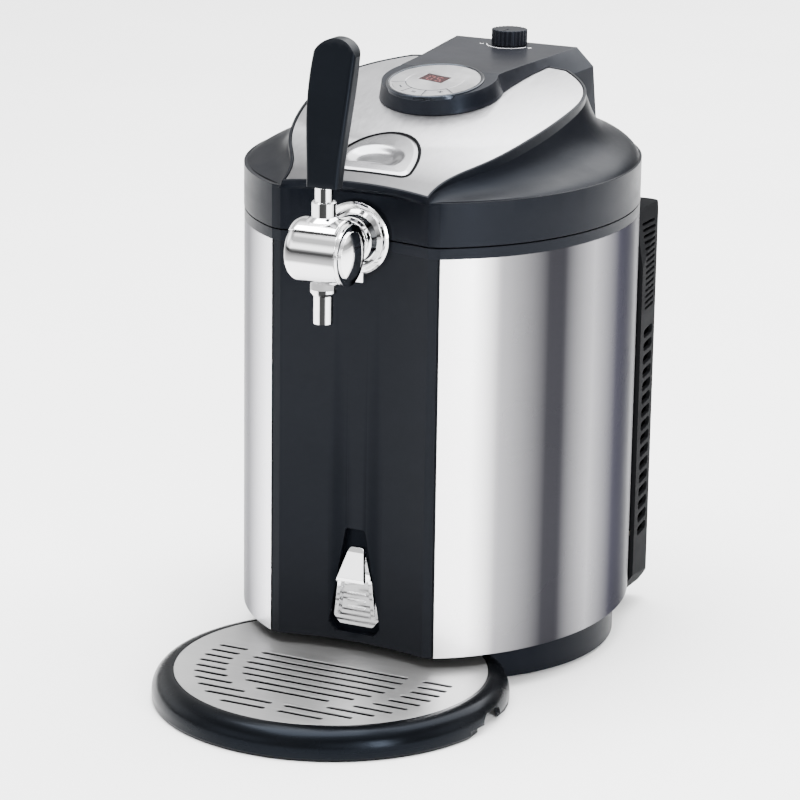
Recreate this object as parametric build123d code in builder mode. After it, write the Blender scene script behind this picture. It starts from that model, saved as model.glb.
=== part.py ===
from build123d import *
import os
from math import asin, atan2, cos, degrees, pi, radians, sin, sqrt, tan

# Counter-top draught beer cooler for a five-litre mini keg: an insulated well with a thermoelectric
# cooler behind it, a hinged lid that holds the controls and the gas regulator, a lever tap on the
# front, and a round drip tray that slides under the body.
# Lengths are millimetres. The y values below are measured from the axis of the body's side curve.

os.makedirs("parts", exist_ok=True)

# ---------------------------------------------------------------- driving dimensions
BODY_HALF = 135.0          # half width, which sets the size of everything else
BODY_LONG = 158.4          # half length of the elliptical side curve, front to back
REAR_Y = 125.0             # flat back of the body and the lid
CREASE_X, CREASE_Y = 55.3, -142.5
FRONT_SAG = 7.5            # depth of the hollow in the front panel
STEEL_X = 63.0             # front edge of the steel side panels
STEEL_REAR_Y = 78.0        # rear edge of the steel side panels
PANEL_LOW, PANEL_TOP = 27.9, 309.2
DECK_TOP = 316.5
BAND_LOW, BAND_TOP = 317.6, 347.4
WALL = 2.5

BASE_R = 128.3
TRAY_R, TRAY_Y, TRAY_TOP = 123.0, -170.8, 20.6
TRAY_REAR_Y = -96.0
GRID_R = 107.7

WELL_Y = -28.0
WELL_R = 89.0
KEG_R, KEG_LOW, KEG_HIGH = 86.0, 47.0, 293.0

PLATE_R = 660.0            # radius of the crowned steel plate on the lid
PLATE_CENTRE_Y, PLATE_CENTRE_Z = 116.5, -254.3
PLATE_THICK = 1.2
RIM = 1.6                  # raised rim round the steel plate

HINGE_Y, HINGE_Z, HINGE_R = 130.2, 319.0, 4.5

TAP_Y, TAP_Z, TAP_R = -187.0, 317.0, 21.2
SHANK_R = 8.0

DISC_Y, DISC_Z, DISC_TILT, DISC_R = -17.6, 403.4, 9.8, 31.7
GRAPHIC_TURN = -10.5       # the printed disc is turned this far about its own axis
KNOB_Y, KNOB_R, KNOB_HIGH = 109.0, 13.0, 11.0
CONSOLE_REAR_Y, CONSOLE_REAR_Z, CONSOLE_SLOPE = 122.0, 409.8, 1.0

BUTTON_Y, BUTTON_HALF, BUTTON_DEEP = -125.0, 30.0, 48.0
FAN_Z = 160.0

# The row's origin is the middle of the footprint, so the body's axis sits this far behind it.
AXIS_Y = -((TRAY_Y - TRAY_R) + (HINGE_Y + HINGE_R)) / 2


def level(z):
    """Horizontal plane at height z, with its origin on the body's axis."""
    return Plane(origin=(0, AXIS_Y, z))


def facing_front(y):
    """Upright plane whose normal points forwards; local x is right, local y is up."""
    return Plane(origin=(0, AXIS_Y + y, 0), x_dir=(1, 0, 0), z_dir=(0, -1, 0))


def side_on(x):
    """Upright plane whose normal points right; local x is rearwards, local y is up."""
    return Plane(origin=(x, AXIS_Y, 0), x_dir=(0, 1, 0), z_dir=(1, 0, 0))


def side_curve_y(x, grow=0.0):
    """Front y of the elliptical side curve at a given x."""
    return -(BODY_LONG + grow) * sqrt(1 - (x / (BODY_HALF + grow)) ** 2)


def body_plan(grow=0.0):
    """The body's plan as a face: curved sides, flat back and a hollow front between two creases."""
    steel_y = side_curve_y(STEEL_X, grow)
    with BuildSketch() as plan:
        Ellipse(BODY_HALF + grow, BODY_LONG + grow)
        with Locations((0, REAR_Y + grow - BODY_LONG)):
            Rectangle(3 * BODY_HALF, 2 * BODY_LONG, mode=Mode.INTERSECT)
        with BuildLine():
            ThreePointArc(
                (-CREASE_X, CREASE_Y - grow),
                (0, CREASE_Y + FRONT_SAG - grow),
                (CREASE_X, CREASE_Y - grow),
            )
            Polyline(
                (CREASE_X, CREASE_Y - grow),
                (STEEL_X, steel_y),
                (80, -200),
                (-80, -200),
                (-STEEL_X, steel_y),
                (-CREASE_X, CREASE_Y - grow),
            )
        make_face(mode=Mode.SUBTRACT)
    return plan.sketch


def ring_sketch(outer, inner, at=(0, 0)):
    """Sketch a flat ring."""
    with Locations(at):
        Circle(outer)
        Circle(inner, mode=Mode.SUBTRACT)


def box_sketch(low, high, mode=Mode.ADD):
    """Sketch a rectangle from its lower and upper corners."""
    with Locations(((low[0] + high[0]) / 2, (low[1] + high[1]) / 2)):
        Rectangle(high[0] - low[0], high[1] - low[1], mode=mode)


# ---------------------------------------------------------------- base and feet
FOOT_SPOTS = [(112 * cos(radians(a)), 112 * sin(radians(a))) for a in (-10, 48, 132, 190)]
FOOT_HIGH = 2.5

with BuildPart() as base_ring:
    with BuildSketch(level(FOOT_HIGH)):
        ring_sketch(BASE_R, BASE_R - 4)
        box_sketch((-BASE_R, -BASE_R), (BASE_R, REAR_Y - WALL - 0.1), mode=Mode.INTERSECT)
    extrude(amount=PANEL_LOW - FOOT_HIGH)
    with BuildSketch(level(FOOT_HIGH)):
        with Locations(*FOOT_SPOTS):
            Circle(11)
    extrude(amount=PANEL_LOW - FOOT_HIGH)
    with BuildSketch(level(FOOT_HIGH)):
        ring_sketch(TRAY_R + 5.5, TRAY_R + 2.5, at=(0, TRAY_Y))
        Circle(BASE_R - 2, mode=Mode.INTERSECT)
    extrude(amount=PANEL_LOW - FOOT_HIGH)
    with BuildSketch(level(FOOT_HIGH)):
        box_sketch((-100, TRAY_REAR_Y + 1), (100, TRAY_REAR_Y + 4))
        Circle(BASE_R - 2, mode=Mode.INTERSECT)
    extrude(amount=PANEL_LOW - FOOT_HIGH)
    with BuildSketch(level(0)):
        with Locations((0, TRAY_Y)):
            Circle(TRAY_R + 2.5)
        box_sketch((-BASE_R, -2 * BASE_R), (BASE_R, TRAY_REAR_Y + 1), mode=Mode.INTERSECT)
    extrude(amount=PANEL_LOW, mode=Mode.SUBTRACT)
    with BuildSketch(level(0)):
        box_sketch((-BASE_R, TRAY_REAR_Y + 4), (BASE_R, 0))
        with Locations((0, TRAY_Y)):
            Circle(TRAY_R + 5.6, mode=Mode.INTERSECT)
        Circle(BASE_R - 4.1, mode=Mode.INTERSECT)
    extrude(amount=PANEL_LOW, mode=Mode.SUBTRACT)
    with BuildSketch(level(PANEL_LOW)):
        add(body_plan(-1.0))
        box_sketch((-70.3, -200), (70.3, -100), mode=Mode.SUBTRACT)
    extrude(amount=3)
    with BuildSketch(level(PANEL_LOW)):
        add(body_plan(-3.3))
    extrude(amount=3)
    with BuildSketch(facing_front(REAR_Y + 20)):
        box_sketch((-200, -1), (200, 60))
    extrude(amount=20 + WALL + 0.1, mode=Mode.SUBTRACT)
base_ring.part.label = "base_ring"
export_step(base_ring.part, "parts/base_ring.step")

with BuildPart() as rubber_feet:
    with BuildSketch(level(0)):
        with Locations(*FOOT_SPOTS):
            Circle(9)
    extrude(amount=FOOT_HIGH)
    chamfer(rubber_feet.faces().filter_by(Axis.Z).group_by(Axis.Z)[0].edges(), length=0.8)
rubber_feet.part.label = "rubber_feet"
export_step(rubber_feet.part, "parts/rubber_feet.step")

# ---------------------------------------------------------------- front panel
OPENER_TOP, OPENER_LOW = 110.0, 34.0
OPENER_TOP_HALF, OPENER_LOW_HALF = 7.5, 19.8


def opener_outline(inset, top, low):
    """Sketch the bell-shaped outline of the bottle opener, or of its recess."""
    with BuildLine() as bell:
        FilletPolyline(
            (-OPENER_TOP_HALF + inset, top),
            (-OPENER_LOW_HALF + inset, low + 6),
            (-OPENER_LOW_HALF + inset + 5, low),
            (OPENER_LOW_HALF - inset - 5, low),
            (OPENER_LOW_HALF - inset, low + 6),
            (OPENER_TOP_HALF - inset, top),
            radius=2.5,
            close=True,
        )
    make_face(bell.edges())


with BuildPart() as front_panel:
    with BuildSketch(facing_front(-128)):
        opener_outline(-2.2, OPENER_TOP + 2, OPENER_LOW - 2.2)
    extrude(amount=14)
    with BuildSketch(level(0)):
        add(body_plan(-1.2))
    extrude(amount=PANEL_TOP, mode=Mode.INTERSECT)
    with BuildSketch(level(PANEL_LOW)):
        add(body_plan())
        add(body_plan(-WALL), mode=Mode.SUBTRACT)
        box_sketch((-61.4, -200), (61.4, -100), mode=Mode.INTERSECT)
    extrude(amount=PANEL_TOP - PANEL_LOW)
    with BuildSketch(level(PANEL_LOW)):
        add(body_plan(-1.3))
        add(body_plan(-3.2), mode=Mode.SUBTRACT)
        box_sketch((-70, -200), (70, -100), mode=Mode.INTERSECT)
        box_sketch((-58, -200), (58, -100), mode=Mode.SUBTRACT)
    extrude(amount=PANEL_TOP - PANEL_LOW)
    with BuildSketch(facing_front(-130)):
        opener_outline(0, OPENER_TOP, OPENER_LOW)
    extrude(amount=20, mode=Mode.SUBTRACT)
    with BuildSketch(facing_front(-100)):
        with Locations((0, TAP_Z)):
            Circle(12.3)
    extrude(amount=60, mode=Mode.SUBTRACT)
front_panel.part.label = "front_panel"
export_step(front_panel.part, "parts/front_panel.step")

# ---------------------------------------------------------------- bottle opener
with BuildPart() as bottle_opener:
    with BuildSketch(facing_front(-130.1)):
        opener_outline(2.2, 96, 39)
    extrude(amount=2.2)
    with BuildSketch(side_on(-13)):
        with BuildLine():
            Polyline(
                (-132.3, 96),
                (-134.5, 93),
                (-142.5, 76),
                (-142.5, 73.5),
                (-139.5, 74.5),
                (-134.5, 88),
                (-132.3, 90),
                close=True,
            )
        make_face()
    extrude(amount=26)
    with BuildSketch(facing_front(-130.1)):
        opener_outline(2.2, 96, 39)
    extrude(amount=20, mode=Mode.INTERSECT)
    for rib_z in (52, 57, 62):
        with BuildSketch(facing_front(-132.2)):
            with Locations((0, rib_z)):
                SlotOverall(14, 2)
        extrude(amount=0.9)
    for side in (-1, 1):
        with BuildSketch(facing_front(-132.2)):
            with BuildLine():
                Polyline(
                    (side * 10.0, 74),
                    (side * 12.8, 74),
                    (side * 15.6, 46),
                    (side * 12.8, 46),
                    close=True,
                )
            make_face()
        extrude(amount=3.0)
bottle_opener.part.label = "bottle_opener"
export_step(bottle_opener.part, "parts/bottle_opener.step")

# ---------------------------------------------------------------- steel side panels
for side, name in ((-1, "steel_panel_left"), (1, "steel_panel_right")):
    with BuildPart() as steel_panel:
        with BuildSketch(level(PANEL_LOW)):
            add(body_plan())
            add(body_plan(-1.0), mode=Mode.SUBTRACT)
            box_sketch(
                (min(side * STEEL_X, side * 200), -150),
                (max(side * STEEL_X, side * 200), STEEL_REAR_Y),
                mode=Mode.INTERSECT,
            )
        extrude(amount=PANEL_TOP - PANEL_LOW)
    steel_panel.part.label = name
    export_step(steel_panel.part, f"parts/{name}.step")

# ---------------------------------------------------------------- top deck
with BuildPart() as top_deck:
    with BuildSketch(level(PANEL_TOP)):
        add(body_plan())
        with Locations((0, WELL_Y)):
            Circle(WELL_R + 1.6, mode=Mode.SUBTRACT)
    extrude(amount=DECK_TOP - PANEL_TOP)
    with BuildSketch(facing_front(-127)):
        box_sketch((-20, DECK_TOP), (20, TAP_Z + 14))
    extrude(amount=4)
    for side in (-1, 1):
        with BuildSketch(side_on(side * 34 - 4)):
            with BuildLine():
                Polyline(
                    (-125.6, DECK_TOP),
                    (-122, DECK_TOP),
                    (-122, 328),
                    (-126.8, 328),
                    (-126.8, 326.4),
                    (-125.6, 325.4),
                    close=True,
                )
            make_face()
        extrude(amount=8)
    with BuildSketch(facing_front(-100)):
        with Locations((0, TAP_Z)):
            Circle(SHANK_R + 0.05)
    extrude(amount=60, mode=Mode.SUBTRACT)
    with BuildSketch(facing_front(-131)):
        with Locations((0, TAP_Z)):
            Circle(12.3)
    extrude(amount=20, mode=Mode.SUBTRACT)
    with BuildSketch(facing_front(-110)):
        box_sketch((-13.5, 300), (13.5, 340))
    extrude(amount=17, mode=Mode.SUBTRACT)
top_deck.part.label = "top_deck"
export_step(top_deck.part, "parts/top_deck.step")

# ---------------------------------------------------------------- cooling well, foam and gasket
with BuildPart() as cooling_well:
    with BuildSketch(level(44)):
        with Locations((0, WELL_Y)):
            Circle(WELL_R + 1.5)
    extrude(amount=DECK_TOP - 44)
    with BuildSketch(level(DECK_TOP)):
        with Locations((0, WELL_Y)):
            Circle(WELL_R + 8)
    extrude(amount=0.8)
    with BuildSketch(level(45.5)):
        with Locations((0, WELL_Y)):
            Circle(WELL_R)
    extrude(amount=300, mode=Mode.SUBTRACT)
    with BuildSketch(facing_front(-100)):
        box_sketch((-14, TAP_Z - 14), (14, TAP_Z + 20))
    extrude(amount=60, mode=Mode.SUBTRACT)
cooling_well.part.label = "cooling_well"
export_step(cooling_well.part, "parts/cooling_well.step")

with BuildPart() as insulation_foam:
    with BuildSketch(level(PANEL_LOW + 3)):
        add(body_plan(-1.0))
        box_sketch((-70.3, -200), (70.3, -100), mode=Mode.SUBTRACT)
    extrude(amount=PANEL_TOP - PANEL_LOW - 3)
    with BuildSketch(level(PANEL_LOW + 3)):
        add(body_plan(-3.3))
    extrude(amount=PANEL_TOP - PANEL_LOW - 3)
    with BuildSketch(level(PANEL_LOW + 3)):
        box_sketch((-200, 58), (200, 200))
    extrude(amount=PANEL_TOP - PANEL_LOW - 3, mode=Mode.SUBTRACT)
    with BuildSketch(level(44)):
        with Locations((0, WELL_Y)):
            Circle(WELL_R + 1.5)
    extrude(amount=300, mode=Mode.SUBTRACT)
    with BuildSketch(facing_front(-110)):
        box_sketch((-14, TAP_Z - 14), (14, 340))
        with BuildLine():
            Polyline((-24, 28), (24, 28), (24, 116), (-24, 116), close=True)
        make_face()
    extrude(amount=60, mode=Mode.SUBTRACT)
insulation_foam.part.label = "insulation_foam"
export_step(insulation_foam.part, "parts/insulation_foam.step")

GASKET_LOW, GASKET_HIGH = DECK_TOP + 0.8, 318.6
with BuildPart() as well_gasket:
    with BuildSketch(level(GASKET_LOW)):
        ring_sketch(WELL_R + 8, WELL_R + 3, at=(0, WELL_Y))
        box_sketch((-22, -200), (22, -100), mode=Mode.SUBTRACT)
    extrude(amount=GASKET_HIGH - GASKET_LOW)
well_gasket.part.label = "well_gasket"
export_step(well_gasket.part, "parts/well_gasket.step")

# ---------------------------------------------------------------- thermoelectric cooler
with BuildPart() as cold_block:
    with BuildSketch(level(FAN_Z - 40)):
        box_sketch((-30, 40), (30, 74))
    extrude(amount=80)
    with BuildSketch(level(FAN_Z - 60)):
        with Locations((0, WELL_Y)):
            Circle(WELL_R + 1.5)
    extrude(amount=120, mode=Mode.SUBTRACT)
    with BuildSketch(level(FAN_Z - 60)):
        box_sketch((-40, 40), (40, 58))
    extrude(amount=120, mode=Mode.SUBTRACT)
cold_block.part.label = "cold_block"
export_step(cold_block.part, "parts/cold_block.step")

with BuildPart() as peltier_module:
    with BuildSketch(facing_front(78)):
        with Locations((0, FAN_Z)):
            Rectangle(40, 40)
    extrude(amount=4)
peltier_module.part.label = "peltier_module"
export_step(peltier_module.part, "parts/peltier_module.step")

FIN_COUNT = 15
with BuildPart() as heat_sink:
    with BuildSketch(facing_front(83)):
        with Locations((0, FAN_Z)):
            Rectangle(90, 100)
    extrude(amount=5)
    with BuildSketch(facing_front(101)):
        with Locations((0, FAN_Z)):
            with GridLocations(88 / (FIN_COUNT - 1), 1, FIN_COUNT, 1):
                Rectangle(1.4, 100)
    extrude(amount=18)
heat_sink.part.label = "heat_sink"
export_step(heat_sink.part, "parts/heat_sink.step")

FAN_FRONT_Y, FAN_BACK_Y = 101.5, 116.5
with BuildPart() as fan_frame:
    with BuildSketch(facing_front(FAN_BACK_Y)):
        with Locations((0, FAN_Z)):
            RectangleRounded(92, 92, 5)
            Circle(43, mode=Mode.SUBTRACT)
            with GridLocations(82, 82, 2, 2):
                Circle(2.1, mode=Mode.SUBTRACT)
    extrude(amount=FAN_BACK_Y - FAN_FRONT_Y)
    with BuildSketch(facing_front(FAN_BACK_Y)):
        with Locations((0, FAN_Z)):
            Circle(15)
            Rectangle(88, 4)
            Rectangle(4, 88)
    extrude(amount=2)
    with BuildSketch(facing_front(FAN_BACK_Y - 2)):
        with Locations((0, FAN_Z)):
            Circle(2.5)
    extrude(amount=7)
fan_frame.part.label = "fan_frame"
export_step(fan_frame.part, "parts/fan_frame.step")

with BuildPart() as fan_rotor:
    with BuildSketch(facing_front(FAN_BACK_Y - 3)):
        with Locations((0, FAN_Z)):
            Circle(14)
            Circle(2.55, mode=Mode.SUBTRACT)
    extrude(amount=10)
    for blade_angle in range(0, 360, 45):
        turn = radians(blade_angle)
        blade_plane = Plane(
            origin=(13 * cos(turn), AXIS_Y + 109, FAN_Z + 13 * sin(turn)),
            x_dir=(-sin(turn), 0, cos(turn)),
            z_dir=(cos(turn), 0, sin(turn)),
        )
        with BuildSketch(blade_plane):
            Rectangle(14, 1.4, rotation=35)
        extrude(amount=27)
fan_rotor.part.label = "fan_rotor"
export_step(fan_rotor.part, "parts/fan_rotor.step")

with BuildPart() as power_board:
    with BuildSketch(facing_front(100)):
        with Locations((-50, 66)):
            Rectangle(90, 60)
    extrude(amount=1.6)
    with BuildSketch(facing_front(98.4)):
        with Locations((-78, 72)):
            Rectangle(24, 28)
        with Locations((-48, 78), (-32, 78)):
            Circle(6)
        with Locations((-22, 55)):
            Rectangle(26, 20)
    extrude(amount=16)
power_board.part.label = "power_board"
export_step(power_board.part, "parts/power_board.step")

# ---------------------------------------------------------------- rear cover
COVER_LOW, COVER_HIGH = 12.0, 304.0
INLET_X, INLET_Z = -84.0, 42.0
COARSE_PITCH, FINE_PITCH = 10.0, 4.4


def cover_plan(inset):
    """Sketch the rear cover's plan, open towards the front when inset."""
    front_y = STEEL_REAR_Y - 2 * inset
    with BuildLine() as cover:
        FilletPolyline(
            (-122 + inset, front_y),
            (-116 + inset, REAR_Y - inset),
            (116 - inset, REAR_Y - inset),
            (122 - inset, front_y),
            radius=10 - inset,
        )
        Line((122 - inset, front_y), (-122 + inset, front_y))
    make_face(cover.edges())


def cover_block(inset):
    """The rear cover as a solid, narrower at its top and bottom."""
    with BuildPart() as block:
        with BuildSketch(level(COVER_LOW + inset)):
            cover_plan(inset)
        extrude(amount=COVER_HIGH - COVER_LOW - 2 * inset)
        with BuildSketch(facing_front(130)):
            with BuildLine():
                Polyline(
                    (-108 + inset, COVER_LOW),
                    (-123 + inset, 33),
                    (-123 + inset, 257),
                    (-115 + inset, COVER_HIGH),
                    (115 - inset, COVER_HIGH),
                    (123 - inset, 257),
                    (123 - inset, 33),
                    (108 - inset, COVER_LOW),
                    close=True,
                )
            make_face()
        extrude(amount=80, mode=Mode.INTERSECT)
    return block.part


cover_outer = cover_block(0)
cover_inner = cover_block(WALL)

with BuildPart() as rear_cover:
    add(cover_outer)
    add(cover_inner, mode=Mode.SUBTRACT)
    with BuildSketch(level(COVER_LOW)):
        Circle(BASE_R + 0.3)
        box_sketch((-200, -200), (200, REAR_Y - WALL), mode=Mode.INTERSECT)
    extrude(amount=PANEL_LOW + 3.4 - COVER_LOW, mode=Mode.SUBTRACT)
    with BuildSketch(level(COVER_LOW)):
        Ellipse(BODY_HALF - 1, BODY_LONG - 1)
        box_sketch((-200, -200), (200, REAR_Y - WALL), mode=Mode.INTERSECT)
    extrude(amount=PANEL_LOW + 3.4 - COVER_LOW, mode=Mode.SUBTRACT)
    with BuildSketch(side_on(-130)):
        with Locations((99, 62 + COARSE_PITCH * 7.5)):
            with GridLocations(1, COARSE_PITCH, 1, 16):
                SlotOverall(24, 6.8)
        with Locations((99, 231 + FINE_PITCH * 7)):
            with GridLocations(1, FINE_PITCH, 1, 15):
                SlotOverall(24, 2.2)
    extrude(amount=260, mode=Mode.SUBTRACT)
    with BuildSketch(facing_front(REAR_Y + 1)):
        with Locations((0, FAN_Z)):
            with GridLocations(46, COARSE_PITCH, 4, 14):
                SlotOverall(40, 6.0)
        with Locations((0, 252)):
            with GridLocations(46, FINE_PITCH * 2, 4, 5):
                SlotOverall(40, 3.6)
        with Locations((INLET_X, INLET_Z)):
            Rectangle(28.4, 20.4)
        with Locations((-104, 290), (104, 290), (-104, 50), (104, 50)):
            Circle(1.8)
    extrude(amount=WALL + 2, mode=Mode.SUBTRACT)
rear_cover.part.label = "rear_cover"
export_step(rear_cover.part, "parts/rear_cover.step")

with BuildPart() as cover_screws:
    with BuildSketch(facing_front(REAR_Y + 1.6)):
        with Locations((-104, 290), (104, 290), (-104, 50), (104, 50)):
            Circle(3.4)
    extrude(amount=1.6)
    with BuildSketch(facing_front(REAR_Y)):
        with Locations((-104, 290), (104, 290), (-104, 50), (104, 50)):
            Circle(1.75)
    extrude(amount=9)
    with BuildSketch(facing_front(REAR_Y + 1.6)):
        with Locations((-104, 290), (104, 290), (-104, 50), (104, 50)):
            Rectangle(3.6, 0.8)
            Rectangle(0.8, 3.6)
    extrude(amount=1.0, mode=Mode.SUBTRACT)
cover_screws.part.label = "cover_screws"
export_step(cover_screws.part, "parts/cover_screws.step")

with BuildPart() as mains_inlet:
    with BuildSketch(facing_front(REAR_Y + 0.8)):
        with Locations((INLET_X, INLET_Z)):
            RectangleRounded(33, 25, 3)
    extrude(amount=0.8)
    with BuildSketch(facing_front(REAR_Y)):
        with Locations((INLET_X, INLET_Z)):
            Rectangle(28, 20)
    extrude(amount=19)
    with BuildSketch(facing_front(REAR_Y + 0.8)):
        with Locations((INLET_X, INLET_Z)):
            RectangleRounded(24, 16, 3)
    extrude(amount=16, mode=Mode.SUBTRACT)
    with BuildSketch(facing_front(REAR_Y - 15.2)):
        with Locations((INLET_X - 7, INLET_Z - 2), (INLET_X + 7, INLET_Z - 2), (INLET_X, INLET_Z + 3)):
            Rectangle(2, 4)
    extrude(amount=-12)
mains_inlet.part.label = "mains_inlet"
export_step(mains_inlet.part, "parts/mains_inlet.step")

# ---------------------------------------------------------------- keg, coupler and beer line
COUPLER_HIGH = 318.0

with BuildPart() as keg_shell:
    with BuildSketch(side_on(0)):
        with BuildLine():
            FilletPolyline(
                (WELL_Y, KEG_LOW + 8),
                (WELL_Y + 70, KEG_LOW + 8),
                (WELL_Y + 76, KEG_LOW),
                (WELL_Y + KEG_R, KEG_LOW),
                (WELL_Y + KEG_R, KEG_HIGH),
                (WELL_Y + 76, KEG_HIGH),
                (WELL_Y + 70, KEG_HIGH - 8),
                (WELL_Y, KEG_HIGH - 8),
                radius=2.5,
            )
            Line((WELL_Y, KEG_HIGH - 8), (WELL_Y, KEG_LOW + 8))
        make_face()
        with BuildLine():
            FilletPolyline(
                (WELL_Y, KEG_LOW + 9.2),
                (WELL_Y + KEG_R - 1.2, KEG_LOW + 9.2),
                (WELL_Y + KEG_R - 1.2, KEG_HIGH - 9.2),
                (WELL_Y, KEG_HIGH - 9.2),
                radius=6,
            )
            Line((WELL_Y, KEG_HIGH - 9.2), (WELL_Y, KEG_LOW + 9.2))
        make_face(mode=Mode.SUBTRACT)
    revolve(axis=Axis((0, AXIS_Y + WELL_Y, 0), (0, 0, 1)))
    with BuildSketch(level(KEG_HIGH - 20)):
        with Locations((0, WELL_Y)):
            Circle(14)
    extrude(amount=20, mode=Mode.SUBTRACT)
keg_shell.part.label = "keg_shell"
export_step(keg_shell.part, "parts/keg_shell.step")

with BuildPart() as keg_bung:
    with BuildSketch(level(KEG_HIGH - 14)):
        with Locations((0, WELL_Y)):
            Circle(14)
            Circle(4.05, mode=Mode.SUBTRACT)
    extrude(amount=6)
    with BuildSketch(level(KEG_HIGH - 8)):
        with Locations((0, WELL_Y)):
            Circle(19)
            Circle(4.05, mode=Mode.SUBTRACT)
    extrude(amount=4)
keg_bung.part.label = "keg_bung"
export_step(keg_bung.part, "parts/keg_bung.step")

with BuildPart() as dip_tube:
    with BuildSketch(level(KEG_LOW + 16)):
        ring_sketch(4, 3, at=(0, WELL_Y))
    extrude(amount=KEG_HIGH - 4 - KEG_LOW - 16)
dip_tube.part.label = "dip_tube"
export_step(dip_tube.part, "parts/dip_tube.step")

PORT_Z = 307.0
with BuildPart() as keg_coupler:
    with BuildSketch(level(KEG_HIGH - 4)):
        with Locations((0, WELL_Y)):
            Circle(22)
    extrude(amount=COUPLER_HIGH - KEG_HIGH + 4)
    fillet(keg_coupler.faces().filter_by(Axis.Z).group_by(Axis.Z)[-1].edges(), radius=3)
    with BuildSketch(level(KEG_HIGH - 4)):
        with Locations((0, WELL_Y)):
            Circle(15)
    extrude(amount=4, mode=Mode.SUBTRACT)
    with BuildSketch(level(COUPLER_HIGH)):
        with Locations((0, WELL_Y)):
            Circle(6)
    extrude(amount=10)
    with BuildSketch(facing_front(WELL_Y - 18)):
        with Locations((0, PORT_Z)):
            Circle(6)
    extrude(amount=12)
    with BuildSketch(facing_front(WELL_Y)):
        with Locations((0, PORT_Z)):
            Circle(3)
    extrude(amount=40, mode=Mode.SUBTRACT)
    with BuildSketch(level(KEG_HIGH - 4)):
        with Locations((0, WELL_Y)):
            Circle(3)
    extrude(amount=PORT_Z - KEG_HIGH + 4, mode=Mode.SUBTRACT)
    with BuildSketch(level(COUPLER_HIGH - 6)):
        with Locations((0, WELL_Y)):
            Circle(2.5)
    extrude(amount=20, mode=Mode.SUBTRACT)
keg_coupler.part.label = "keg_coupler"
export_step(keg_coupler.part, "parts/keg_coupler.step")

HOSE_R = 4.5
SHANK_TAIL_Y = -112.0
with BuildPart() as beer_line:
    with BuildLine(side_on(0)) as hose_path:
        FilletPolyline(
            (WELL_Y - 30, PORT_Z),
            (WELL_Y - 50, PORT_Z),
            (SHANK_TAIL_Y + 16, TAP_Z),
            (SHANK_TAIL_Y, TAP_Z),
            radius=22,
        )
    with BuildSketch(facing_front(WELL_Y - 30)):
        with Locations((0, PORT_Z)):
            Circle(HOSE_R)
            Circle(HOSE_R - 1.5, mode=Mode.SUBTRACT)
    sweep(path=hose_path.wires()[0])
beer_line.part.label = "beer_line"
export_step(beer_line.part, "parts/beer_line.step")

# ---------------------------------------------------------------- tap
NECK_R = 11.0
COLLAR_BACK_Y = -137.7
SHANK_FRONT_Y = -160.0
TAP_AXIS_Y = Axis((0, AXIS_Y, TAP_Z), (0, 1, 0))
TAP_AXIS_X = Axis((0, AXIS_Y + TAP_Y, TAP_Z), (1, 0, 0))

with BuildPart() as tap_shank:
    with BuildSketch(facing_front(SHANK_TAIL_Y)):
        with Locations((0, TAP_Z)):
            Circle(SHANK_R)
            Circle(3.5, mode=Mode.SUBTRACT)
    extrude(amount=SHANK_TAIL_Y - SHANK_FRONT_Y)
tap_shank.part.label = "tap_shank"
export_step(tap_shank.part, "parts/tap_shank.step")

with BuildPart() as tap_nut:
    with BuildSketch(facing_front(-120.5)):
        with Locations((0, TAP_Z)):
            RegularPolygon(12, 6)
            Circle(SHANK_R + 0.02, mode=Mode.SUBTRACT)
    extrude(amount=6.3)
tap_nut.part.label = "tap_nut"
export_step(tap_nut.part, "parts/tap_nut.step")

with BuildPart() as tap_collar:
    with BuildSketch(level(TAP_Z)):
        with BuildLine():
            FilletPolyline(
                (SHANK_R + 0.02, -131.1),
                (12, -131.1),
                (12, COLLAR_BACK_Y),
                (25, COLLAR_BACK_Y),
                (25, -140.2),
                (23.4, -141.6),
                (20.5, -140.6),
                (18, -143.5),
                (16, -148.5),
                (13.5, -149.5),
                (13.5, -152),
                (SHANK_R + 0.02, -152),
                radius=0.5,
            )
            Line((SHANK_R + 0.02, -152), (SHANK_R + 0.02, -131.1))
        make_face()
    revolve(axis=TAP_AXIS_Y)
    with BuildSketch(facing_front(COLLAR_BACK_Y)):
        box_sketch((-6.5, TAP_Z - 30), (6.5, TAP_Z - 22))
    extrude(amount=3.4)
tap_collar.part.label = "tap_collar"
export_step(tap_collar.part, "parts/tap_collar.step")

SPOOL_R = 14.0
BORE_GAP = 0.06
BARREL_LEFT, BARREL_RIGHT = -22.0, 18.0
BARREL_ROUND = 9.0
BORE_LEFT = -15.5
STEM_R = 5.0
SPOUT_TOP, SPOUT_END, SPOUT_R = 292.5, 269.0, 6.5
LEVER_TRAVEL = 26.0
SLOT_HALF = STEM_R + 0.5

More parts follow.
